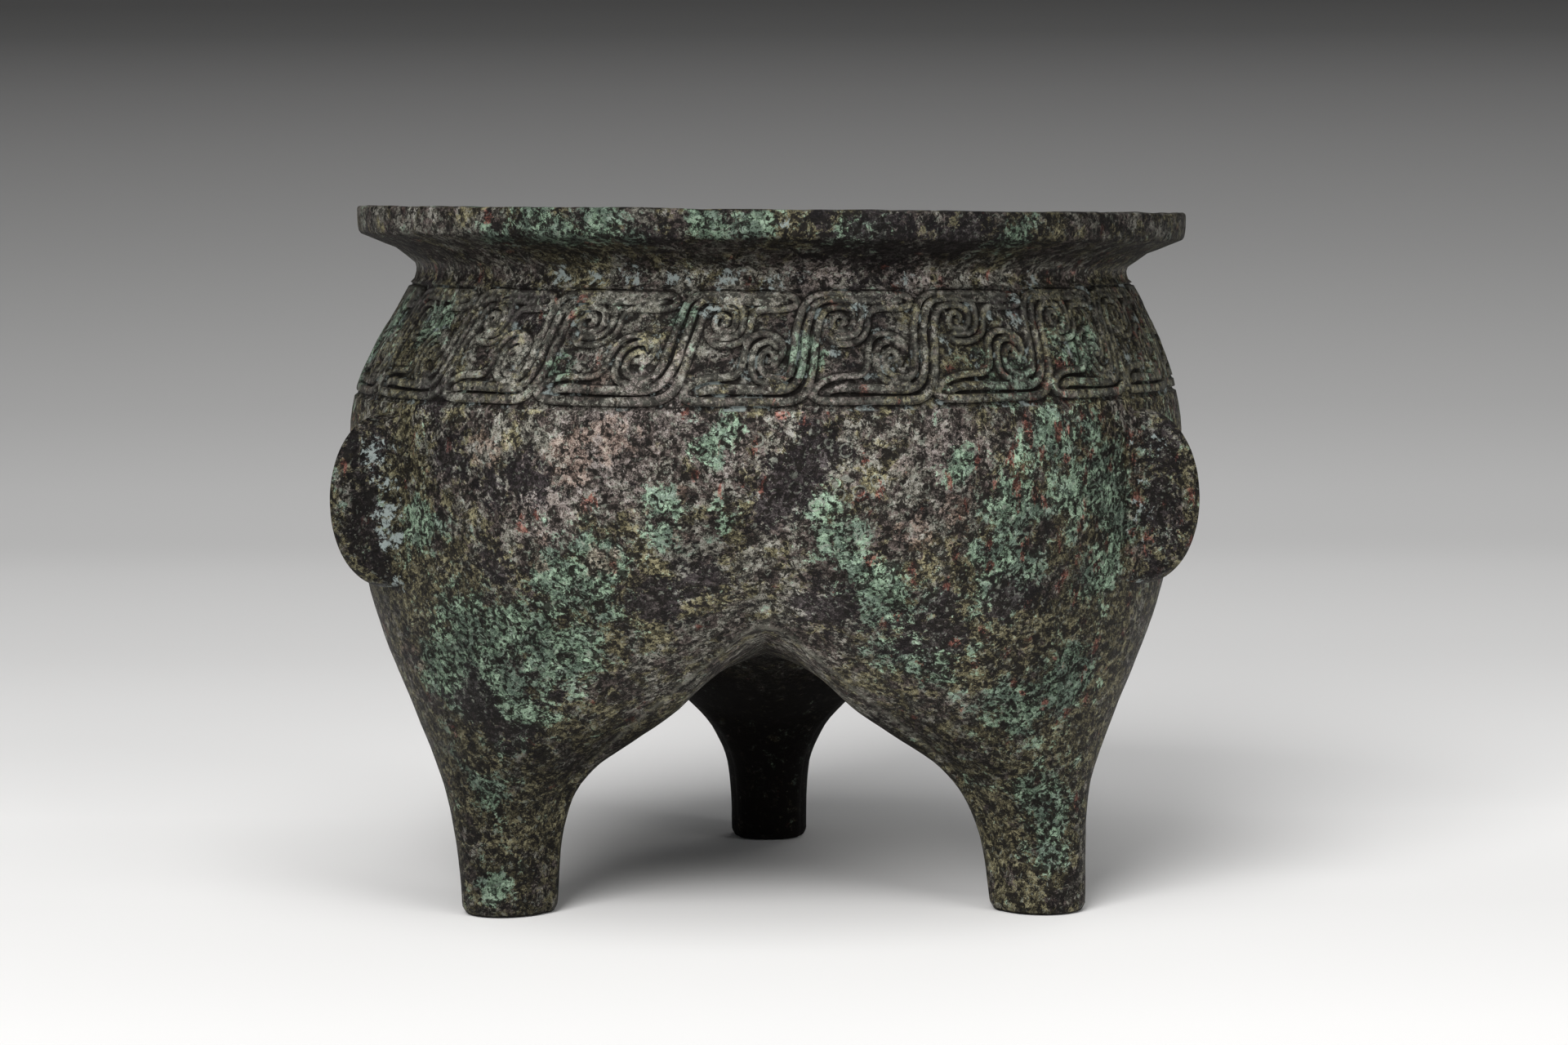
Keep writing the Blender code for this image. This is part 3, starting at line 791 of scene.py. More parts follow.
def near_ridge(points, lines):
    """Distance from each point to the nearest ridge's middle line, less that ridge's extra half width."""
    around = 2 * math.pi * BAND_RADIUS
    starts = np.vstack([line[:-1] for line in lines])
    ends = np.vstack([line[1:] for line in lines])
    moves = [np.array([shift, 0.0, 0.0]) for shift in (-around, 0.0, around)]
    starts = np.vstack([starts + move for move in moves])
    ends = np.vstack([ends + move for move in moves])
    order = np.argsort(starts[:, 0])
    starts, ends = starts[order], ends[order]
    best = np.full(len(points), FAR)
    order = np.argsort(points[:, 0])
    for chunk in np.array_split(order, max(1, len(points) // 400)):
        p = points[chunk]
        low = np.searchsorted(starts[:, 0], p[:, 0].min() - 3.0)
        high = np.searchsorted(starts[:, 0], p[:, 0].max() + 3.0)
        if high <= low:
            continue
        s, e = starts[low:high], ends[low:high]
        d = e[:, :2] - s[:, :2]
        t = ((p[:, None] - s[:, :2]) * d).sum(-1) / np.maximum((d * d).sum(-1), 1e-9)
        t = np.clip(t, 0, 1)
        gap = np.linalg.norm(p[:, None] - (s[:, :2] + d * t[..., None]), axis=-1)
        gap -= s[:, 2] + (e[:, 2] - s[:, 2]) * t
        best[chunk] = gap.min(axis=1)
    return best


def thin_out(spots, nearest):
    """Drop points closer than the given distance to an earlier one."""
    cells, kept = {}, []
    for i, (x, y) in enumerate(spots):
        column, row = int(x // nearest), int(y // nearest)
        near = False
        for c in (column - 1, column, column + 1):
            for r in (row - 1, row, row + 1):
                for u, v in cells.get((c, r), ()):
                    near = near or (u - x) ** 2 + (v - y) ** 2 < nearest * nearest
        if not near:
            cells.setdefault((column, row), []).append((x, y))
            kept.append(i)
    return spots[kept]


def band_points(lines, rng):
    """Places of the band's mesh points: along the ridges' middles, edges and feet, and over the ground."""
    around = 2 * math.pi * BAND_RADIUS
    kept = []
    for offset in (0.0, RIDGE_TOP, -RIDGE_TOP, RIDGE_FOOT, -RIDGE_FOOT):
        spots = []
        for line in lines:
            way = np.gradient(line[:, :2], axis=0)
            way /= np.maximum(np.linalg.norm(way, axis=1), 1e-9)[:, None]
            side = np.stack([-way[:, 1], way[:, 0]], -1)
            reach = offset + np.sign(offset) * line[:, 2]
            spots.append(line[:, :2] + side * reach[:, None])
        spots = np.vstack(spots)
        if offset:
            spots = spots[near_ridge(spots, lines) > abs(offset) - 0.04]
        kept.append(spots)
    columns = int(around / GROUND_STEP)
    rows = int(BAND_RISE / GROUND_STEP)
    x = (np.arange(columns)[:, None] + 0.5 * (np.arange(rows)[None] % 2)) * around / columns
    x -= math.pi * BAND_RADIUS
    y = np.repeat(((np.arange(rows) + 0.5) * BAND_RISE / rows)[None], columns, axis=0)
    ground = np.stack([x, y], -1).reshape(-1, 2)
    ground += rng.uniform(-0.15, 0.15, ground.shape)
    kept.append(ground[near_ridge(ground, lines) > RIDGE_FOOT + 0.25])
    spots = np.vstack(kept)
    spots = spots[(spots[:, 1] > BORDER) & (spots[:, 1] < BAND_RISE - BORDER)]
    spots[:, 0] = (spots[:, 0] + math.pi * BAND_RADIUS) % around - math.pi * BAND_RADIUS
    return thin_out(spots, NEAREST)


def cut_band(casting, low_ring, azimuths, relief, rng):
    """Add the band with its scrolls.  Returns the ring at its top."""
    lines = band_ridges(rng)
    spots = band_points(lines, rng)
    count = len(azimuths)
    angles = np.array(azimuths)
    edge = []
    for y in (0.0, BAND_RISE, 0.3, BAND_RISE - 0.3):
        edge.append(np.stack([angles * BAND_RADIUS, np.full(count, y)], -1))
    places = np.vstack(edge + [spots])
    turn = places[:, 0] / BAND_RADIUS
    grow = np.exp(places[:, 1] / BAND_RADIUS)
    flats = [Vector((g * math.cos(a), g * math.sin(a))) for g, a in zip(grow, turn)]
    edges = [(s + j, s + (j + 1) % count) for s in (0, count, 2 * count, 3 * count) for j in range(count)]
    _, _, triangles, origin, _, _ = delaunay_2d_cdt(flats, edges, [], 0, 1e-9)
    source = [o[0] for o in origin]
    gap = near_ridge(places, lines)
    low = 1.0 - ease((gap - RIDGE_TOP) / (RIDGE_FOOT - RIDGE_TOP))
    border = np.minimum(places[:, 1], BAND_RISE - places[:, 1])
    low = np.maximum(low, 1.0 - ease(border / 0.3))
    beside = 1.0 - ease((gap - RIDGE_FOOT) / 0.7)
    # How deep the cut relief is kept along the band, shallower where it is worn
    wear_and_edge_highlight = 0.5 + 0.5 * np.sin(places[:, 0] * 0.33 + 1.0) * np.sin(places[:, 0] * 0.121 + places[:, 1] * 0.2)
    depth = relief * (1.0 - low) * (0.62 + 0.38 * beside) * (0.75 + 0.25 * wear_and_edge_highlight)
    z = BAND_LOW + (BAND_HIGH - BAND_LOW) * places[:, 1] / BAND_RISE
    radius = OUTER_SKIN.radius(turn, z) - depth
    solid = np.stack([radius * np.cos(turn), radius * np.sin(turn), z], -1)
    known = list(low_ring)
    for j in range(count, len(places)):
        known.append(casting.add(solid[j], 1.0 - low[j], gap[j]))
    for triangle in triangles:
        corners = [source[p] for p in triangle]
        if all(c < count for c in corners):
            continue
        casting.face([known[c] for c in corners])
    return known[count : 2 * count]


def rim_profile():
    """Radius and height of each ring from the band out over the lip and down to the throat."""
    under = HEIGHT - LIP_FACE
    reach = RIM_RADIUS - NECK_RADIUS
    throat = NECK_RADIUS - WALL
    dish = RIM_DISH / reach
    way = [
        (NECK_RADIUS + 0.35, NECK_HEIGHT - 2.2),
        (NECK_RADIUS, NECK_HEIGHT - 0.9),
        (NECK_RADIUS - 0.05, NECK_HEIGHT),
        (NECK_RADIUS + 0.2, NECK_HEIGHT + 0.9),
        (NECK_RADIUS + 0.16 * reach, NECK_HEIGHT + 2.3),
        (NECK_RADIUS + 0.34 * reach, NECK_HEIGHT + 0.9 + 0.54 * (under - NECK_HEIGHT - 0.9)),
        (NECK_RADIUS + 0.52 * reach, NECK_HEIGHT + 4.75),
        (NECK_RADIUS + 0.72 * reach, NECK_HEIGHT + 5.75),
        (RIM_RADIUS - 1.5, under),
        (RIM_RADIUS - 0.9, under + 0.25),
        (RIM_RADIUS - 0.5, under + 0.8),
        (RIM_RADIUS - 0.3, under + 1.8),
        (RIM_RADIUS - 0.22, under + 2.9),
        (RIM_RADIUS - 0.2, under + 4.1),
        (RIM_RADIUS - 0.2, HEIGHT - 0.75),
        (RIM_RADIUS - 0.35, HEIGHT - 0.35),
        (RIM_RADIUS - 0.75, HEIGHT - 0.12),
    ]
    for inset in (1.4, 3.2, 5.4, 7.6, 9.8):
        way.append((RIM_RADIUS - inset, HEIGHT - 0.15 - dish * (inset - 1.4)))
    return way + [
        (NECK_RADIUS + 0.6, HEIGHT - RIM_DISH - 0.05),
        (NECK_RADIUS - 0.9, HEIGHT - RIM_DISH - 0.75),
        (NECK_RADIUS - 1.9, HEIGHT - RIM_DISH - 1.9),
        (throat + 0.35, NECK_HEIGHT + 0.5 * (HEIGHT - RIM_DISH - NECK_HEIGHT)),
        (throat + 0.05, NECK_HEIGHT + 1.6),
        (throat, NECK_HEIGHT),
        (throat + 0.4, NECK_HEIGHT - 2.5),
    ]


def stain(points, patches):
    """How strongly each point lies in a list of round patches."""
    value = np.zeros(len(points))
    for azimuth, height, size in patches:
        turn = math.radians(azimuth - 90.0)
        if height > NECK_HEIGHT + 1.5:
            radius = RIM_RADIUS
        elif height < LOBES_MEET:
            aside = min(abs(azimuth - side) for side in (-60, 60))
            radius = float(OUTER_SKIN.outer_reach(height)) - 0.25 * aside
        else:
            radius = float(OUTER_SKIN.radius(turn, height))
        spot = np.array([radius * math.cos(turn), radius * math.sin(turn), height])
        gap = np.linalg.norm(points - spot, axis=1) / size
        value = np.maximum(value, np.exp(-0.7 * gap**2))
    return value


def light_and_dark(points):
    """How bright the colour is made: darker on the lip, the sides and the legs than on the belly's front."""
    azimuth = np.degrees(np.arctan2(points[:, 0], -points[:, 1]))
    z = points[:, 2]
    side = climb(np.abs(azimuth), 28.0, 46.0) * (1.0 - climb(z, 99.0, 103.0))
    leg = 1.0 - climb(z, 34.0, 48.0)
    lip = climb(z, 127.0, 133.0)
    right = climb(azimuth, -60.0, 60.0)
    band = climb(z, BAND_LOW - 1.0, BAND_LOW + 1.0) * (1.0 - climb(z, BAND_HIGH, BAND_HIGH + 2.0))
    band *= climb(np.abs(azimuth + 22.0), 4.0, 34.0)
    tone = (1.0 - 0.26 * side) * (1.0 - 0.2 * band)
    tone *= 1.0 - leg * (0.27 - 0.32 * right)
    return tone * (1.0 - lip * (0.31 + 0.22 * right))


def scattered(rng, number, small, large):
    """Patches over the sides and back, which the front view doesn't show."""
    made = []
    for _ in range(number):
        azimuth = rng.uniform(66, 294)
        made.append((azimuth, rng.uniform(4, 138), rng.uniform(small, large)))
    return tuple(made)


def leg_plane(azimuth, along, across):
    """Where a point given along and across a leg's plane lies."""
    turn = math.radians(azimuth)
    x = along * math.cos(turn) - across * math.sin(turn)
    return x, along * math.sin(turn) + across * math.cos(turn)


def lean(p):
    """Give the vessel its hand-made shift and slope."""
    x, y, z = p[:, 0], p[:, 1], p[:, 2]
    shift = FOOT_SHIFT * (1.0 - climb(z, 0.0, 32.0)) * (1.0 - climb(y, -20.0, 20.0))
    shift += RIM_SHIFT * climb(z, 100.0, 130.0)
    slope = RIM_SLOPE * climb(z, 120.0, 132.0)
    return np.stack([x + shift, y + AXIS_Y, z - slope * (x + RIM_RADIUS)], -1)


def rough(points, scale, seed):
    """Smooth noise from -1 to 1 at each point, with features of the given size in mm."""
    move = Vector((seed * 13.7, seed * 7.1, seed * 3.3))
    return np.array([noise.noise(Vector(p) / scale + move) for p in points])


def set_attribute(mesh, name, values):
    """Store one number for each point of a mesh."""
    layer = mesh.attributes.new(name, "FLOAT", "POINT")
    layer.data.foreach_set("value", np.asarray(values, np.float32))


def rounded_apexes(base):
    """How far up or down each point goes in mm, so that the arches' pointed peaks turn round."""
    z, angle = OUTER_SKIN.crease(0.0)
    along, across, _ = OUTER_SKIN.points(np.float64(z), np.float64(angle))
    moved = np.zeros(len(base))
    for azimuth in LEG_AZIMUTHS:
        x, y = leg_plane(azimuth, along, across)
        aside = (base[:, 1] * x - base[:, 0] * y) / math.hypot(x, y)
        gap = np.linalg.norm(base - np.array([x, y, z]), axis=1)
        near = np.exp(-((gap / APEX_REACH) ** 2)) * (base[:, 0] * x + base[:, 1] * y > 0.0)
        rounding = np.abs(aside) - np.sqrt(aside**2 + APEX_WIDTH**2) + 0.45 * APEX_WIDTH
        moved += APEX_SLOPE * rounding * near
    return moved


def arris(base):
    """Gap in mm from each point to the edge under the nearest arch, and how strong that edge is there."""
    lines = []
    for k in np.linspace(0.0, 0.62, 80):
        z, angle = OUTER_SKIN.crease(k)
        along, across, height = OUTER_SKIN.points(np.float64(z), np.float64(angle))
        for azimuth in LEG_AZIMUTHS:
            for side in (1, -1):
                x, y = leg_plane(azimuth, along, side * across)
                lines.append((x, y, height, 1.0 - float(ease((k - 0.3) / 0.32))))
    tree = kdtree.KDTree(len(lines))
    for index, line in enumerate(lines):
        tree.insert(line[:3], index)
    tree.balance()
    gaps, strength = np.full(len(base), 99.0), np.zeros(len(base))
    for i in np.flatnonzero((base[:, 2] > 20.0) & (base[:, 2] < 66.0)):
        _, index, gaps[i] = tree.find(base[i])
        strength[i] = lines[index][3]
    return gaps, strength


def flange_stains(base, azimuth):
    """Painted shade over the middle of a flange's faces, and their chalky spots."""
    turn = math.radians(azimuth)
    along = base[:, 0] * math.cos(turn) + base[:, 1] * math.sin(turn)
    z = base[:, 2]
    rise = along - np.array([float(OUTER_SKIN.radius(turn, height)) for height in z])
    # Painted shade over the face, from near the belly out to its middle
    dark = 0.6 * climb(rise, 0.6, 2.6) * (1.0 - climb(rise, 7.5, 10.5))
    chalk = np.zeros(len(base))
    for away, height, size in FLANGE_CHALK:
        spot = np.exp(-0.7 * ((rise - away) ** 2 + (z - height) ** 2) / size**2)
        chalk = np.maximum(chalk, 0.95 * spot)
    return dark, chalk * (0.7 if azimuth == LEG_AZIMUTHS[2] else 1.0)


def closed_mesh(name, casting):
    """Mesh of the collected points and faces, with its faces turned outward.  An open edge is an error."""
    mesh = bpy.data.meshes.new(name)
    mesh.from_pydata(casting.points, [], casting.faces)
    work = bmesh.new()
    work.from_mesh(mesh)
    bmesh.ops.recalc_face_normals(work, faces=work.faces)
    if work.calc_volume(signed=True) < 0:
        bmesh.ops.reverse_faces(work, faces=work.faces)
    loose = sum(1 for edge in work.edges if len(edge.link_faces) != 2)
    work.to_mesh(mesh)
    work.free()
    if loose:
        raise RuntimeError(f"{name} has {loose} edges that don't join two faces")
    return mesh


def hand_made(base, normals, wobble, lip_wear):
    """The points with the wall's wobble and the lip's nicks, in mm."""
    moved = sum(share * rough(base, size, seed) for size, seed, share in WAVES)
    calm = climb(base[:, 2], 0.0, 2.0)
    placed = base + normals * (wobble * (moved * calm - 0.1))[:, None]
    lip = climb(base[:, 2], HEIGHT - 3.3, HEIGHT - 0.7) * climb(np.hypot(base[:, 0], base[:, 1]), 80.0, 83.0)
    nick = np.maximum(0.0, rough(base, 9.0, 4)) * 0.9 + np.maximum(0.0, rough(base, 3.1, 5) - 0.25) * 1.4
    placed[:, 2] -= lip * nick * lip_wear
    return placed


def painted_shade(base, normals, gaps, strength):
    """How strongly each point gets painted shade: undersides, the back leg's front, under the lip and in
    hollows.
    """
    z = base[:, 2]
    out = np.hypot(base[:, 0], base[:, 1])
    inward = -(normals[:, :2] * base[:, :2]).sum(axis=1) / np.maximum(out, 1e-6)
    down = -normals[:, 2]
    under = climb(np.maximum(inward, down), 0.55, 0.9) * (1.0 - climb(z, 58.0, 66.0))
    under *= 1.0 - strength * (1.0 - 0.75 * climb(gaps, 4.0, 30.0)) * climb(z, 34.0, 44.0)
    back = climb(base[:, 1], 10.0, 30.0) * climb(inward, -0.7, 0.1) * (1.0 - climb(z, 56.0, 64.0))
    lip_under = 0.5 * climb(down, 0.2, 0.7) * climb(z, NECK_HEIGHT, NECK_HEIGHT + 3.0)
    hollow = 0.75 * climb(inward, 0.2, 0.6) * climb(z, 20.0, 30.0) * (z < 132.0) * (out < 84.0)
    return np.maximum.reduce([under, back, lip_under, hollow])


def finish_mesh(name, casting, wobble, lip_wear, seed, flange=None):
    """Turn the collected points and faces into a mesh with its hand-made surface and its stains."""
    mesh = closed_mesh(name, casting)
    base = np.array([v.co[:] for v in mesh.vertices])
    normals = np.array([v.normal[:] for v in mesh.vertices])
    placed = hand_made(base, normals, wobble, lip_wear)
    gaps, strength = arris(base)
    edge = strength * np.exp(-((gaps / EDGE_WIDTH) ** 2))
    placed += normals * (EDGE_RISE * edge)[:, None]
    dark, chalk, shade = np.zeros(len(base)), np.zeros(len(base)), 1.0
    if flange is None:
        placed[:, 2] += rounded_apexes(base)
    else:
        dark, chalk = flange_stains(base, flange)
        shade = 0.82
    placed = lean(placed) * MM
    low = np.array(CAD_LOW) + 1e-5
    high = np.array(CAD_HIGH) - 1e-5
    low[2] = 0.0
    placed = np.clip(placed, low, high)
    mesh.vertices.foreach_set("co", placed.astype(np.float32).ravel())

    gap = np.array(casting.gaps)
    # Where the band's grooves get painted shade
    groove = climb(gap, RIDGE_TOP - 0.02, RIDGE_TOP + 0.1) * (1.0 - climb(gap, 0.78, 1.08))
    # Painted shade: the band's sunken ground between the ridges is made darker through the tone
    ground = climb(gap, 0.62, 0.92) * (gap < FAR - 1.0) * (np.hypot(base[:, 0], base[:, 1]) > NECK_RADIUS)
    # Painted light: the downward faces under each arch's edge are made brighter
    arch_painted_light = strength * (1.0 - climb(gaps, 10.0, 30.0)) * climb(-normals[:, 2], 0.4, 0.65)
    arch_painted_light *= climb(base[:, 2], 42.0, 56.0)
    set_attribute(mesh, "sunk", casting.sunk)
    # The edge under each arch, which gets a painted highlight
    set_attribute(mesh, "arris", edge)
    set_attribute(mesh, "groove", groove)
    # Where the ridges' tops get a painted highlight
    set_attribute(mesh, "ridge", 1.0 - climb(gap, 0.36, 0.56))
    # Painted shade on undersides, the back leg's front, under the lip and in hollows
    set_attribute(mesh, "painted_shade", painted_shade(base, normals, gaps, strength))
    # The tone scales the colour: light_and_dark's darker lip, sides and legs, painted light under the
    # arches' edges, painted shade on the band's sunken ground, and 0.82 on the flanges
    set_attribute(mesh, "tone", light_and_dark(base) * (1.0 + 0.3 * arch_painted_light) * (1.0 - 0.3 * ground) * shade)
    set_attribute(mesh, "chalk", np.maximum(stain(base, CHALK_PATCHES), chalk))
    rng = np.random.default_rng(seed)
    for key, patches, number, small, large in STAINS:
        value = stain(base, patches + scattered(rng, number, small, large))
        # On a flange, the bare patches also take the painted shade of its faces
        set_attribute(mesh, key, np.maximum(value, dark) if key == "bare" else value)
    mesh.shade_smooth()
    mesh.update()
    return mesh


def node(tree, kind, **values):
    """Add a shader node and set its options."""
    made = tree.nodes.new(kind)
    for key, value in values.items():
        setattr(made, key, value)
    return made


def fractal(tree, place, scale, detail, roughness, distortion=0.0, output="Fac"):
    """Noise over a position in mm."""
    made = node(tree, "ShaderNodeTexNoise")
    made.inputs["Scale"].default_value = scale
    made.inputs["Detail"].default_value = detail
    made.inputs["Roughness"].default_value = roughness
    made.inputs["Distortion"].default_value = distortion
    tree.links.new(place, made.inputs["Vector"])
    return made.outputs[output]


def vector_math(tree, operation, first, second):
    """Add one sum of a vector and a vector, a tuple or, to scale it, a number or a number's socket."""
    made = node(tree, "ShaderNodeVectorMath", operation=operation)
    tree.links.new(first, made.inputs[0])
    slot = made.inputs["Scale"] if operation == "SCALE" else made.inputs[1]
    if isinstance(second, (int, float, tuple)):
        slot.default_value = second
    else:
        tree.links.new(second, slot)
    return made.outputs[0]


def voronoi(tree, place, scale, output, randomness=1.0):
    """Cells over a position in mm."""
    made = node(tree, "ShaderNodeTexVoronoi")
    made.inputs["Scale"].default_value = scale
    made.inputs["Randomness"].default_value = randomness
    tree.links.new(place, made.inputs["Vector"])
    return made.outputs[output]


def flakes(tree, place, scale):
    """Two random numbers for each flake of the crust: scale flakes per mm, with ragged, crisp edges."""
    drift = fractal(tree, place, 1.3 * scale, 6.0, 0.72, output="Color")
    centred = vector_math(tree, "SUBTRACT", drift, (0.5, 0.5, 0.5))
    moved = vector_math(tree, "ADD", place, vector_math(tree, "SCALE", centred, 3.0 / scale))
    split = node(tree, "ShaderNodeSeparateColor")
    tree.links.new(voronoi(tree, moved, scale, "Color"), split.inputs[0])
    return split.outputs[0], split.outputs[1]


def math_node(tree, operation, first, second):
    """Add one sum of two values, each a number or a socket."""
    made = node(tree, "ShaderNodeMath", operation=operation)
    for slot, value in enumerate((first, second)):
        if isinstance(value, (int, float)):
            made.inputs[slot].default_value = value
        else:
            tree.links.new(value, made.inputs[slot])
    return made.outputs[0]


def between(tree, value, low, high):
    """Rise smoothly from 0 to 1 as a value goes from low to high."""
    made = node(tree, "ShaderNodeMapRange", interpolation_type="SMOOTHSTEP")
    made.inputs["From Min"].default_value = low
    made.inputs["From Max"].default_value = high
    tree.links.new(value, made.inputs["Value"])
    return made.outputs["Result"]


def blend_colour(tree, share, first, second):
    """Mix two colours, each a colour or a socket."""
    made = node(tree, "ShaderNodeMix", data_type="RGBA")
    tree.links.new(share, made.inputs["Factor"])
    for slot, value in ((6, first), (7, second)):
        if isinstance(value, (tuple, list)):
            made.inputs[slot].default_value = (*value[:3], 1.0)
        else:
            tree.links.new(value, made.inputs[slot])
    return made.outputs[2]


def attribute(tree, name):
    """Read one of the mesh's stored numbers."""
    return node(tree, "ShaderNodeAttribute", attribute_name=name).outputs["Fac"]


def ramp(tree, value, colour, dark):
    """Colour of the skin, from a pit's black up to a grain's pale tip, as a value rises."""
    pale = tuple(min(0.13 + 1.35 * c, 0.03 + 2.6 * c) for c in colour)
    stops = (
        (0.3, dark),
        (0.4, tuple(0.22 * c + 0.3 * d for c, d in zip(colour, dark))),
        (0.48, tuple(0.74 * c for c in colour)),
        (0.57, tuple(1.55 * c + 0.008 for c in colour)),
        (0.69, pale),
    )
    made = node(tree, "ShaderNodeValToRGB")
    elements = made.color_ramp.elements
    while len(elements) < len(stops):
        elements.new(0.5)
    for element, (at, tint) in zip(elements, stops):
        element.position = at
        element.color = (*tint, 1.0)
    tree.links.new(value, made.inputs[0])
    return made.outputs[0]


class Coats:
    """Coats of colour laid over one another through masks made of noise and of the mesh's stored numbers."""

    def __init__(self, tree, settings):
        self.tree = tree
        self.settings = settings
        self.place = vector_math(tree, "SCALE", node(tree, "ShaderNodeTexCoord").outputs["Object"], 1.0 / MM)
        self.field = {name: fractal(tree, self.place, *numbers) for name, numbers in NOISES.items()}
        self.field["flake"], self.field["flake_hue"] = flakes(tree, self.place, FLAKE_SCALE)
        self.field["chip"], self.field["chip_hue"] = flakes(tree, self.place, CHIP_SCALE)
        self.skin = None

    def add(self, first, second):
        """Sum of two values."""
        return math_node(self.tree, "ADD", first, second)

    def times(self, first, second):
        """Product of two values."""
        return math_node(self.tree, "MULTIPLY", first, second)

    def stored(self, name, weight):
        """One of the mesh's stored numbers, times a weight."""
        return self.times(attribute(self.tree, name), weight)

    def sway(self, start, **weights):
        """A value plus how far each named field is from its middle, times the given weight."""
        for name, weight in weights.items():
            away = math_node(self.tree, "SUBTRACT", self.field[name], 0.5)
            start = self.add(start, self.times(away, weight))
        return start

    def lay(self, name, value, colour, within=None):
        """Lay a coat of colour where a value is high enough, and keep its mask as a field."""
        low, high, strength = COATS[name]
        mask = between(self.tree, value, low, high)
        if within is not None:
            mask = self.times(mask, within)
        self.field[name] = mask
        self.skin = blend_colour(self.tree, self.times(mask, strength), self.skin, colour)

    def lay_skin(self):
        """Lay the skin's own colours: brown, grey, olive, lilac, green, tan, black and red."""
        tree, settings = self.tree, self.settings
        dark = tuple(settings.dark)
        grain = self.sway(0.5, flake=0.13, chip=0.17, small=0.5, fine=0.6, dust=0.75)
        calm = self.add(0.215, self.times(grain, 0.6))
        red = ramp(tree, grain, tuple(settings.red), RED_PIT)
        self.skin = ramp(tree, grain, BROWN, dark)
        grey = ramp(tree, grain, tuple(settings.grey), dark)
        self.lay("grey", self.sway(self.field["middle"], flake=0.12, chip_hue=0.08), grey)
        mossy = self.sway(self.stored("olive", 0.35), other=1.6, flake_hue=0.35)
        self.lay("olive", mossy, ramp(tree, grain, OLIVE, dark))
        pinkish = self.sway(self.stored("lilac", 0.6), middle=1.4, flake_hue=0.3)
        self.lay("lilac", pinkish, ramp(tree, grain, LILAC, dark))
        skin, self.skin = self.skin, ramp(tree, calm, TEAL, TEAL_PIT)
        verdant = self.sway(0.0, other=1.5, flake_hue=0.3, chip_hue=0.25)
        self.lay("malachite", verdant, ramp(tree, calm, tuple(settings.green), GREEN_PIT))
        verdigris, self.skin = self.skin, skin
        crust = self.add(attribute(tree, "malachite"), self.stored("olive", 0.18))
        self.lay("crust", self.sway(crust, middle=2.2, small=0.7, flake=0.5, chip=0.32, fine=0.7), verdigris)
        warm = self.sway(self.stored("tan", 0.85), small=1.0, other=1.6, flake_hue=0.45)
        self.lay("tan", warm, ramp(tree, grain, tuple(settings.tan), TAN_PIT))
        bare = self.sway(attribute(tree, "bare"), small=-0.8, other=-2.0, flake=-0.42, chip=-0.4)
        self.lay("bare", bare, ramp(tree, grain, BLACK, BLACK_PIT))
        self.lay("spots", self.sway(attribute(tree, "cuprite"), small=1.5, fine=0.8), red)
        tall = vector_math(tree, "MULTIPLY", self.place, STREAK_STRETCH)
        streaks, _ = flakes(tree, tall, STREAK_SCALE)
        self.lay("streaks", self.add(self.stored("streak", 0.075), streaks), red)

    def lay_pits(self):
        """Lay blister rings, pits, specks, small holes and pale frost."""
        tree, dark = self.tree, tuple(self.settings.dark)
        bent = self.sway(voronoi(tree, self.place, BLISTER_SCALE, "Distance", 0.9), small=0.25)
        ring = self.times(between(tree, bent, 0.27, 0.31), between(tree, bent, 0.4, 0.35))
        self.lay("rings", self.sway(attribute(tree, "blister"), middle=1.2), RING_GREY, ring)
        rotten = self.stored("olive", 0.038)
        self.lay("pits", self.add(rotten, self.sway(self.field["pitting"], chip_hue=0.07)), dark)
        self.lay("specks", self.add(self.field["speckle"], rotten), dark)
        holes = voronoi(tree, self.place, HOLE_SCALE, "Distance")
        self.lay("holes", self.sway(holes, middle=0.9, small=0.5, fine=0.6), dark)
        self.lay("frost", self.field["speckle"], FROST_GREY)

    def shade(self):
        """Make the whole skin lighter and darker in patches, and by the mesh's stored tone, which carries
        painted light and painted shade.
        """
        tree = self.tree
        value = self.sway(1.05, broad=1.5, middle=1.3, other=1.2, chip=0.5, flake=0.3)
        value = math_node(tree, "MINIMUM", math_node(tree, "MAXIMUM", value, 0.4), 1.7)
        self.skin = vector_math(tree, "SCALE", self.skin, self.times(value, attribute(tree, "tone")))

    def lay_wear(self):
        """Lay the painted highlight on the band's ridges and the painted shade in its grooves, the chalk,
        the painted shade of undersides and hollows, and the painted highlight on the arches' edges.
        """
        tree, field, chalk = self.tree, self.field, tuple(self.settings.chalk)
        # Painted highlight on the ridges' tops
        self.lay("ridges", field["small"], RIDGE_HIGHLIGHT_GREY, attribute(tree, "ridge"))
        # Painted shade in the grooves
        self.lay("groove_shade", field["middle"], GROOVE_SHADE, attribute(tree, "groove"))
        self.lay("bloom", field["powder"], chalk, attribute(tree, "sunk"))
        self.lay("chalk", self.sway(self.stored("chalk", 0.62), small=1.6, chip=0.42), chalk)
        # Painted shade: near-black on undersides, the back leg's front, under the lip and in hollows
        self.lay("painted_shade", field["small"], PAINTED_SHADE_COLOUR, attribute(tree, "painted_shade"))
        # Painted highlight along the edge under each arch
        self.lay("wear_and_edge_highlight", field["small"], EDGE_HIGHLIGHT_GREY, math_node(tree, "POWER", attribute(tree, "arris"), 1.6))


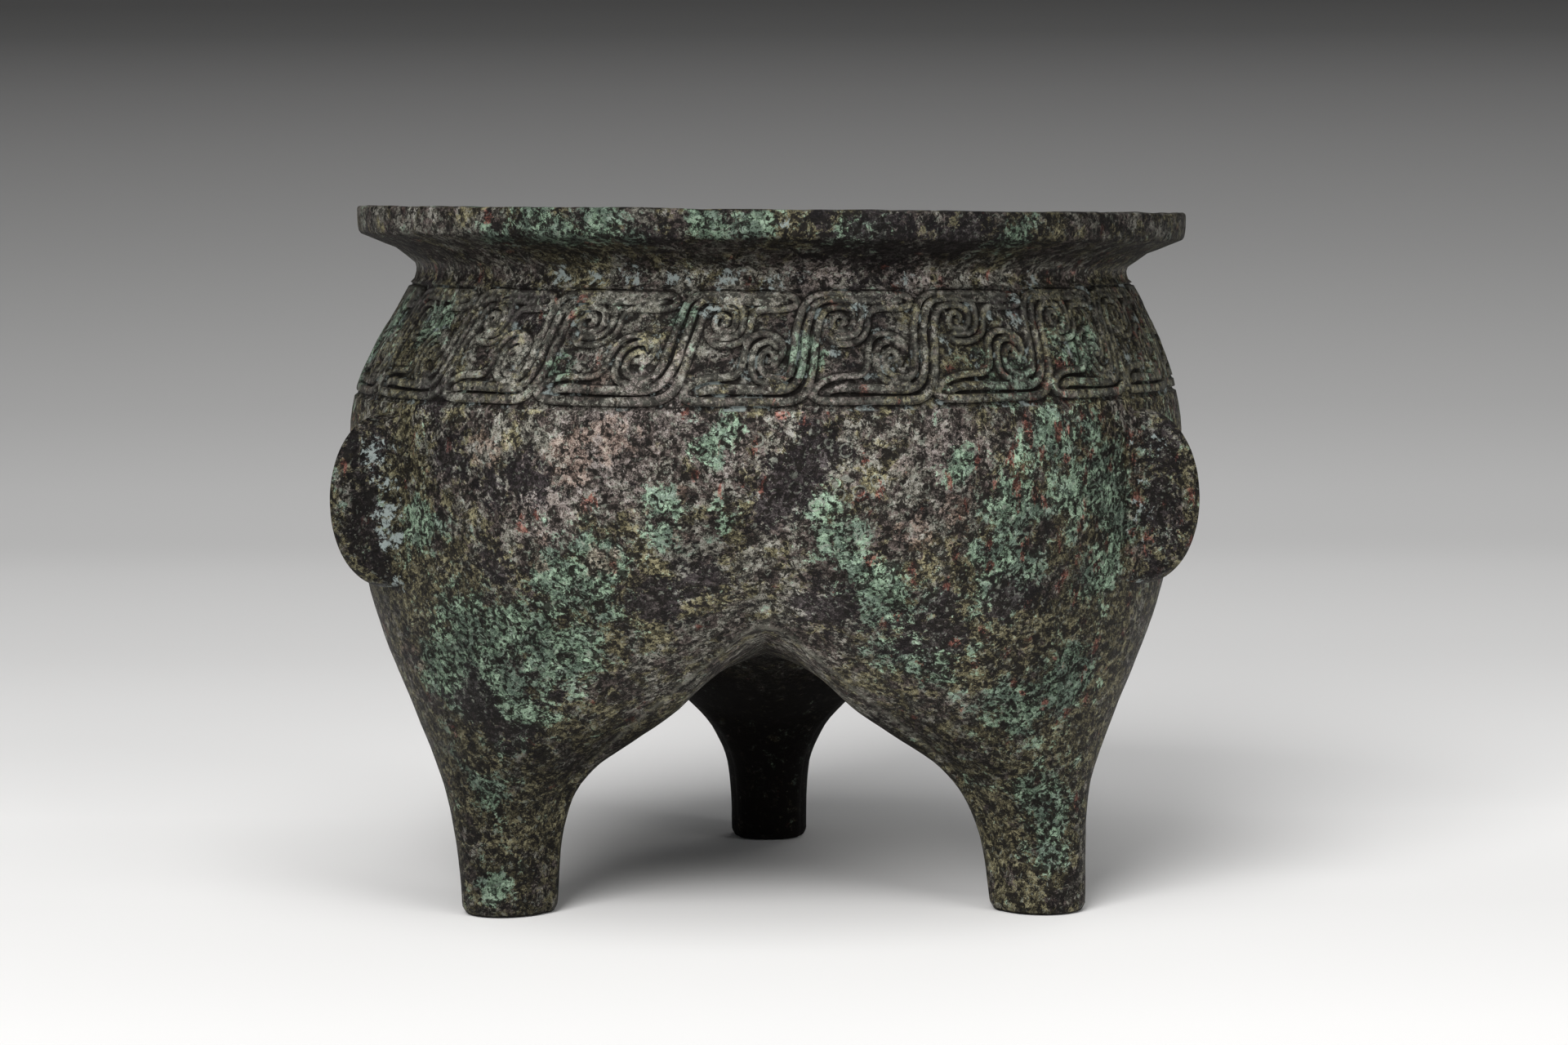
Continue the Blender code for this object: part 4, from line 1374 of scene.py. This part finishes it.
def patina_material(name, settings):
    """Mottled grey, brown and green skin of old bronze, with black pits, red spots and a fine grain, and
    painted highlights and painted shade.
    """
    material = bpy.data.materials.new(name)
    material.use_nodes = True
    tree = material.node_tree
    shader = tree.nodes["Principled BSDF"]
    coats = Coats(tree, settings)
    coats.lay_skin()
    coats.lay_pits()
    coats.shade()
    coats.lay_wear()
    tree.links.new(coats.skin, shader.inputs["Base Color"])
    shader.inputs["Metallic"].default_value = 0.0
    shader.inputs["Specular IOR Level"].default_value = SPECULAR

    gloss = node(tree, "ShaderNodeMapRange")
    gloss.inputs["From Min"].default_value = 0.3
    gloss.inputs["From Max"].default_value = 0.7
    gloss.inputs["To Min"].default_value = SMOOTHEST
    gloss.inputs["To Max"].default_value = ROUGHEST
    dull = coats.sway(coats.add(0.5, coats.stored("painted_shade", 0.5)), fine=0.8, crust=0.25, bare=-0.15)
    tree.links.new(dull, gloss.inputs["Value"])
    tree.links.new(gloss.outputs["Result"], shader.inputs["Roughness"])

    height = 0.0
    for key, weight in HEIGHTS.items():
        height = coats.add(height, coats.times(coats.field[key], weight))
    bump = node(tree, "ShaderNodeBump")
    bump.inputs["Strength"].default_value = settings.grain
    bump.inputs["Distance"].default_value = BUMP_DISTANCE
    tree.links.new(height, bump.inputs["Height"])
    tree.links.new(bump.outputs["Normal"], shader.inputs["Normal"])
    return material


def place_piece(name, mesh, material):
    """Put a piece into the scene on the vessel's body."""
    piece = bpy.data.objects.new(name, mesh)
    mesh.materials.append(material)
    bpy.context.scene.collection.objects.link(piece)
    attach(piece, BODY)
    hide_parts(CAST_NODE)
    return piece


class TRIPOD_OT_casting(bpy.types.Operator):
    """Cast the hollow vessel with its legs, rim and cut scroll band"""

    bl_idname = "tripod.casting"
    bl_label = "Casting"

    def execute(self, context):
        form = context.scene.tripod_form
        rng = np.random.default_rng(form.seed + 100)
        casting = Casting()
        low_ring = casting.skin(OUTER_SKIN, BAND_LOW, UP_ROWS, LEG_LEVELS)
        azimuths = [math.atan2(casting.points[i][1], casting.points[i][0]) for i in low_ring]
        high_ring = cut_band(casting, low_ring, azimuths, form.relief / MM, rng)
        rings = []
        for radius, z in rim_profile():
            rings.append([casting.add((radius * math.cos(a), radius * math.sin(a), z)) for a in azimuths])
        last = casting.rings(high_ring, rings)
        inner_ring = casting.skin(INNER_SKIN, BAND_HIGH - 2.0, 14, POUCH_LEVELS)
        casting.rings(last, [inner_ring])
        mesh = finish_mesh("tripod_casting", casting, form.wobble / MM, form.lip_wear / MM, form.seed)
        place_piece("tripod_casting", mesh, patina_material("patina", context.scene.tripod_patina))
        return {"FINISHED"}


class TRIPOD_OT_flanges(bpy.types.Operator):
    """Set a D-shaped flange over each leg"""

    bl_idname = "tripod.flanges"
    bl_label = "Flanges"

    def execute(self, context):
        form = context.scene.tripod_form
        material = patina_material("flange_patina", context.scene.tripod_patina)
        names = ("flange_back", "flange_left", "flange_right")
        for name, azimuth in zip(names, LEG_AZIMUTHS):
            casting = Casting()
            flange_shell(casting, azimuth)
            mesh = finish_mesh(name, casting, form.wobble / MM * 0.7, 0.0, form.seed + 1, azimuth)
            place_piece(name, mesh, material)
        return {"FINISHED"}


def flange_shell(casting, azimuth):
    """Add one D-shaped plate with a rounded edge, flaring where it grows out of the belly."""
    middle = 0.5 * (FLANGE_LOW + FLANGE_HIGH) + 1.0
    half = 0.5 * (FLANGE_HIGH - FLANGE_LOW)
    depth = FLANGE_REACH - 0.25 - FLANGE_ROOT
    turn = math.radians(azimuth)
    co, si = math.cos(turn), math.sin(turn)
    loops = []
    for ring in range(FLANGE_LAYERS + 1):
        share = ring / FLANGE_LAYERS
        loop = []
        for step in range(FLANGE_STEPS + 1):
            angle = math.pi * (step / FLANGE_STEPS - 0.5)
            out = math.cos(angle) ** 0.85 if 0 < step < FLANGE_STEPS else 0.0
            along = FLANGE_ROOT + depth * out * share
            z = middle + (half - 0.3) * math.sin(angle) * (0.12 + 0.88 * share)
            rise = max(0.0, along - float(OUTER_SKIN.radius(turn, z)))
            edge = 1.0 - max(0.0, (share - 0.86) / 0.14) ** 2
            flare = 5.6 * math.exp(-rise / 1.5)
            thick = (FLANGE_HALF + flare) * math.sqrt(max(0.0, edge)) if share < 1 else 0.0
            loop.append((along, z, thick))
        loops.append(loop)
    sides = []
    for side in (1, -1):
        rows = []
        for loop in loops:
            row = [casting.add((a * co - side * t * si, a * si + side * t * co, z)) for a, z, t in loop]
            rows.append(row)
        for inner, outer in zip(rows, rows[1:]):
            for j in range(FLANGE_STEPS):
                casting.face((inner[j], inner[j + 1], outer[j + 1], outer[j]))
        sides.append(rows)
    front, back = sides
    for j in range(FLANGE_STEPS):
        casting.face((front[0][j], front[0][j + 1], back[0][j + 1], back[0][j]))
    for end in (0, FLANGE_STEPS):
        for k in range(FLANGE_LAYERS):
            casting.face((front[k][end], front[k + 1][end], back[k + 1][end], back[k][end]))


class TRIPOD_OT_stage(bpy.types.Operator):
    """Lay the pale floor and backdrop, hang the soft light and place the camera"""

    bl_idname = "tripod.stage"
    bl_label = "Stage"

    def execute(self, context):
        scene = context.scene
        stage = scene.tripod_stage
        backdrop(stage.distance)
        lights(stage.light)
        world = bpy.data.worlds.new("studio")
        scene.world = world
        world.use_nodes = True
        sky = world.node_tree.nodes["Background"]
        sky.inputs["Color"].default_value = SKY
        sky.inputs["Strength"].default_value = SKY_STRENGTH * stage.light
        scene.view_settings.view_transform = "Standard"
        scene.view_settings.look = "None"
        camera = bpy.data.objects.new("camera", bpy.data.cameras.new("camera"))
        scene.collection.objects.link(camera)
        scene.camera = camera
        camera.data.sensor_width = SENSOR
        camera.data.lens = LENS
        camera.data.dof.use_dof = False
        camera.data.clip_start = 0.01
        camera.data.clip_end = 50.0
        camera.location = (CAMERA_ASIDE, AXIS_Y * MM - stage.distance, CAMERA_HEIGHT)
        camera.rotation_euler = (math.radians(90.0 - CAMERA_TILT), math.radians(CAMERA_ROLL), 0.0)
        return {"FINISHED"}


def backdrop(distance):
    """One sheet: a level floor that curves up into the wall behind, its paper painted with light and shade
    from pale to dark.
    """
    profile = [(FLOOR_START, FLOOR), (-5.0, FLOOR)]
    for i in range(91):
        profile.append((ROWS_START + (BEND_START - ROWS_START) * i / 90, FLOOR))
    for i in range(1, 61):
        angle = math.radians(90.0 * i / 60)
        rise = FLOOR + BEND_RADIUS * (1 - math.cos(angle))
        profile.append((BEND_START + BEND_RADIUS * math.sin(angle), rise))
    for i in range(1, 6):
        profile.append((BEND_START + BEND_RADIUS, BEND_RADIUS + (WALL_HEIGHT - BEND_RADIUS) * i / 5))
    verts, faces, tones = [], [], []
    rows, values = zip(*PAPER_PAINTED_LIGHT)
    for y, z in profile:
        away = max(0.05, y - AXIS_Y * MM + distance)
        drop = math.atan2(CAMERA_HEIGHT - z, away) - math.radians(CAMERA_TILT)
        row = MIDDLE_ROW + FOCAL_ROWS * math.tan(min(1.2, max(-1.2, drop)))
        # Painted light and shade: the paper's colour at the row where the camera sees it
        tone = float(np.interp(row, rows, values))
        for x in SHEET_ASIDE:
            verts.append((x, y, z))
            tones.append(tone)
    for i in range(len(profile) - 1):
        for j in range(3):
            a = i * 4 + j
            faces.append((a, a + 1, a + 5, a + 4))
    mesh = bpy.data.meshes.new("backdrop")
    mesh.from_pydata(verts, [], faces)
    set_attribute(mesh, "tone", tones)
    mesh.shade_smooth()
    sheet = bpy.data.objects.new("backdrop", mesh)
    bpy.context.scene.collection.objects.link(sheet)
    material = bpy.data.materials.new("paper")
    material.use_nodes = True
    tree = material.node_tree
    shader = tree.nodes["Principled BSDF"]
    shader.inputs["Roughness"].default_value = 0.9
    shader.inputs["Specular IOR Level"].default_value = 0.0
    shade = blend_colour(tree, attribute(tree, "tone"), (0.0, 0.0, 0.0), PAPER_TINT)
    tree.links.new(shade, shader.inputs["Base Color"])
    mesh.materials.append(material)


def lights(strength):
    """Soft lights: one high in front on the left, a weaker one on the right, one overhead, one behind."""
    centre = Vector((0.0, AXIS_Y * MM, 0.07))
    for name, place, size, power in LAMPS:
        light = bpy.data.lights.new(name, "AREA")
        light.shape = "SQUARE"
        light.size = size
        light.energy = power * strength
        lamp = bpy.data.objects.new(name, light)
        bpy.context.scene.collection.objects.link(lamp)
        lamp.location = place
        lamp.rotation_euler = (centre - Vector(place)).to_track_quat("-Z", "Y").to_euler()


class TRIPOD_PT_panel(bpy.types.Panel):
    """Sizes and steps of the tripod"""

    bl_idname = "TRIPOD_PT_panel"
    bl_label = "Bronze li tripod"
    bl_space_type = "VIEW_3D"
    bl_region_type = "UI"
    bl_category = "Tripod"

    def draw(self, context):
        scene = context.scene
        for group in (scene.tripod_form, scene.tripod_patina, scene.tripod_stage):
            box = self.layout.box()
            for key in group.__annotations__:
                box.prop(group, key)
        for operator in ("tripod.casting", "tripod.flanges", "tripod.stage"):
            self.layout.operator(operator)


CLASSES = (
    TripodFormSettings,
    TripodPatinaSettings,
    TripodStageSettings,
    TRIPOD_OT_casting,
    TRIPOD_OT_flanges,
    TRIPOD_OT_stage,
    TRIPOD_PT_panel,
)


def register():
    """Register the settings, operators and panel."""
    for item in CLASSES:
        bpy.utils.register_class(item)
    bpy.types.Scene.tripod_form = PointerProperty(type=TripodFormSettings)
    bpy.types.Scene.tripod_patina = PointerProperty(type=TripodPatinaSettings)
    bpy.types.Scene.tripod_stage = PointerProperty(type=TripodStageSettings)


def unregister():
    """Remove them again."""
    del bpy.types.Scene.tripod_form
    del bpy.types.Scene.tripod_patina
    del bpy.types.Scene.tripod_stage
    for item in reversed(CLASSES):
        bpy.utils.unregister_class(item)


def main():
    """Build the scene."""
    register()
    bpy.ops.tripod.casting()
    bpy.ops.tripod.flanges()
    bpy.ops.tripod.stage()


if __name__ == "__main__":
    main()
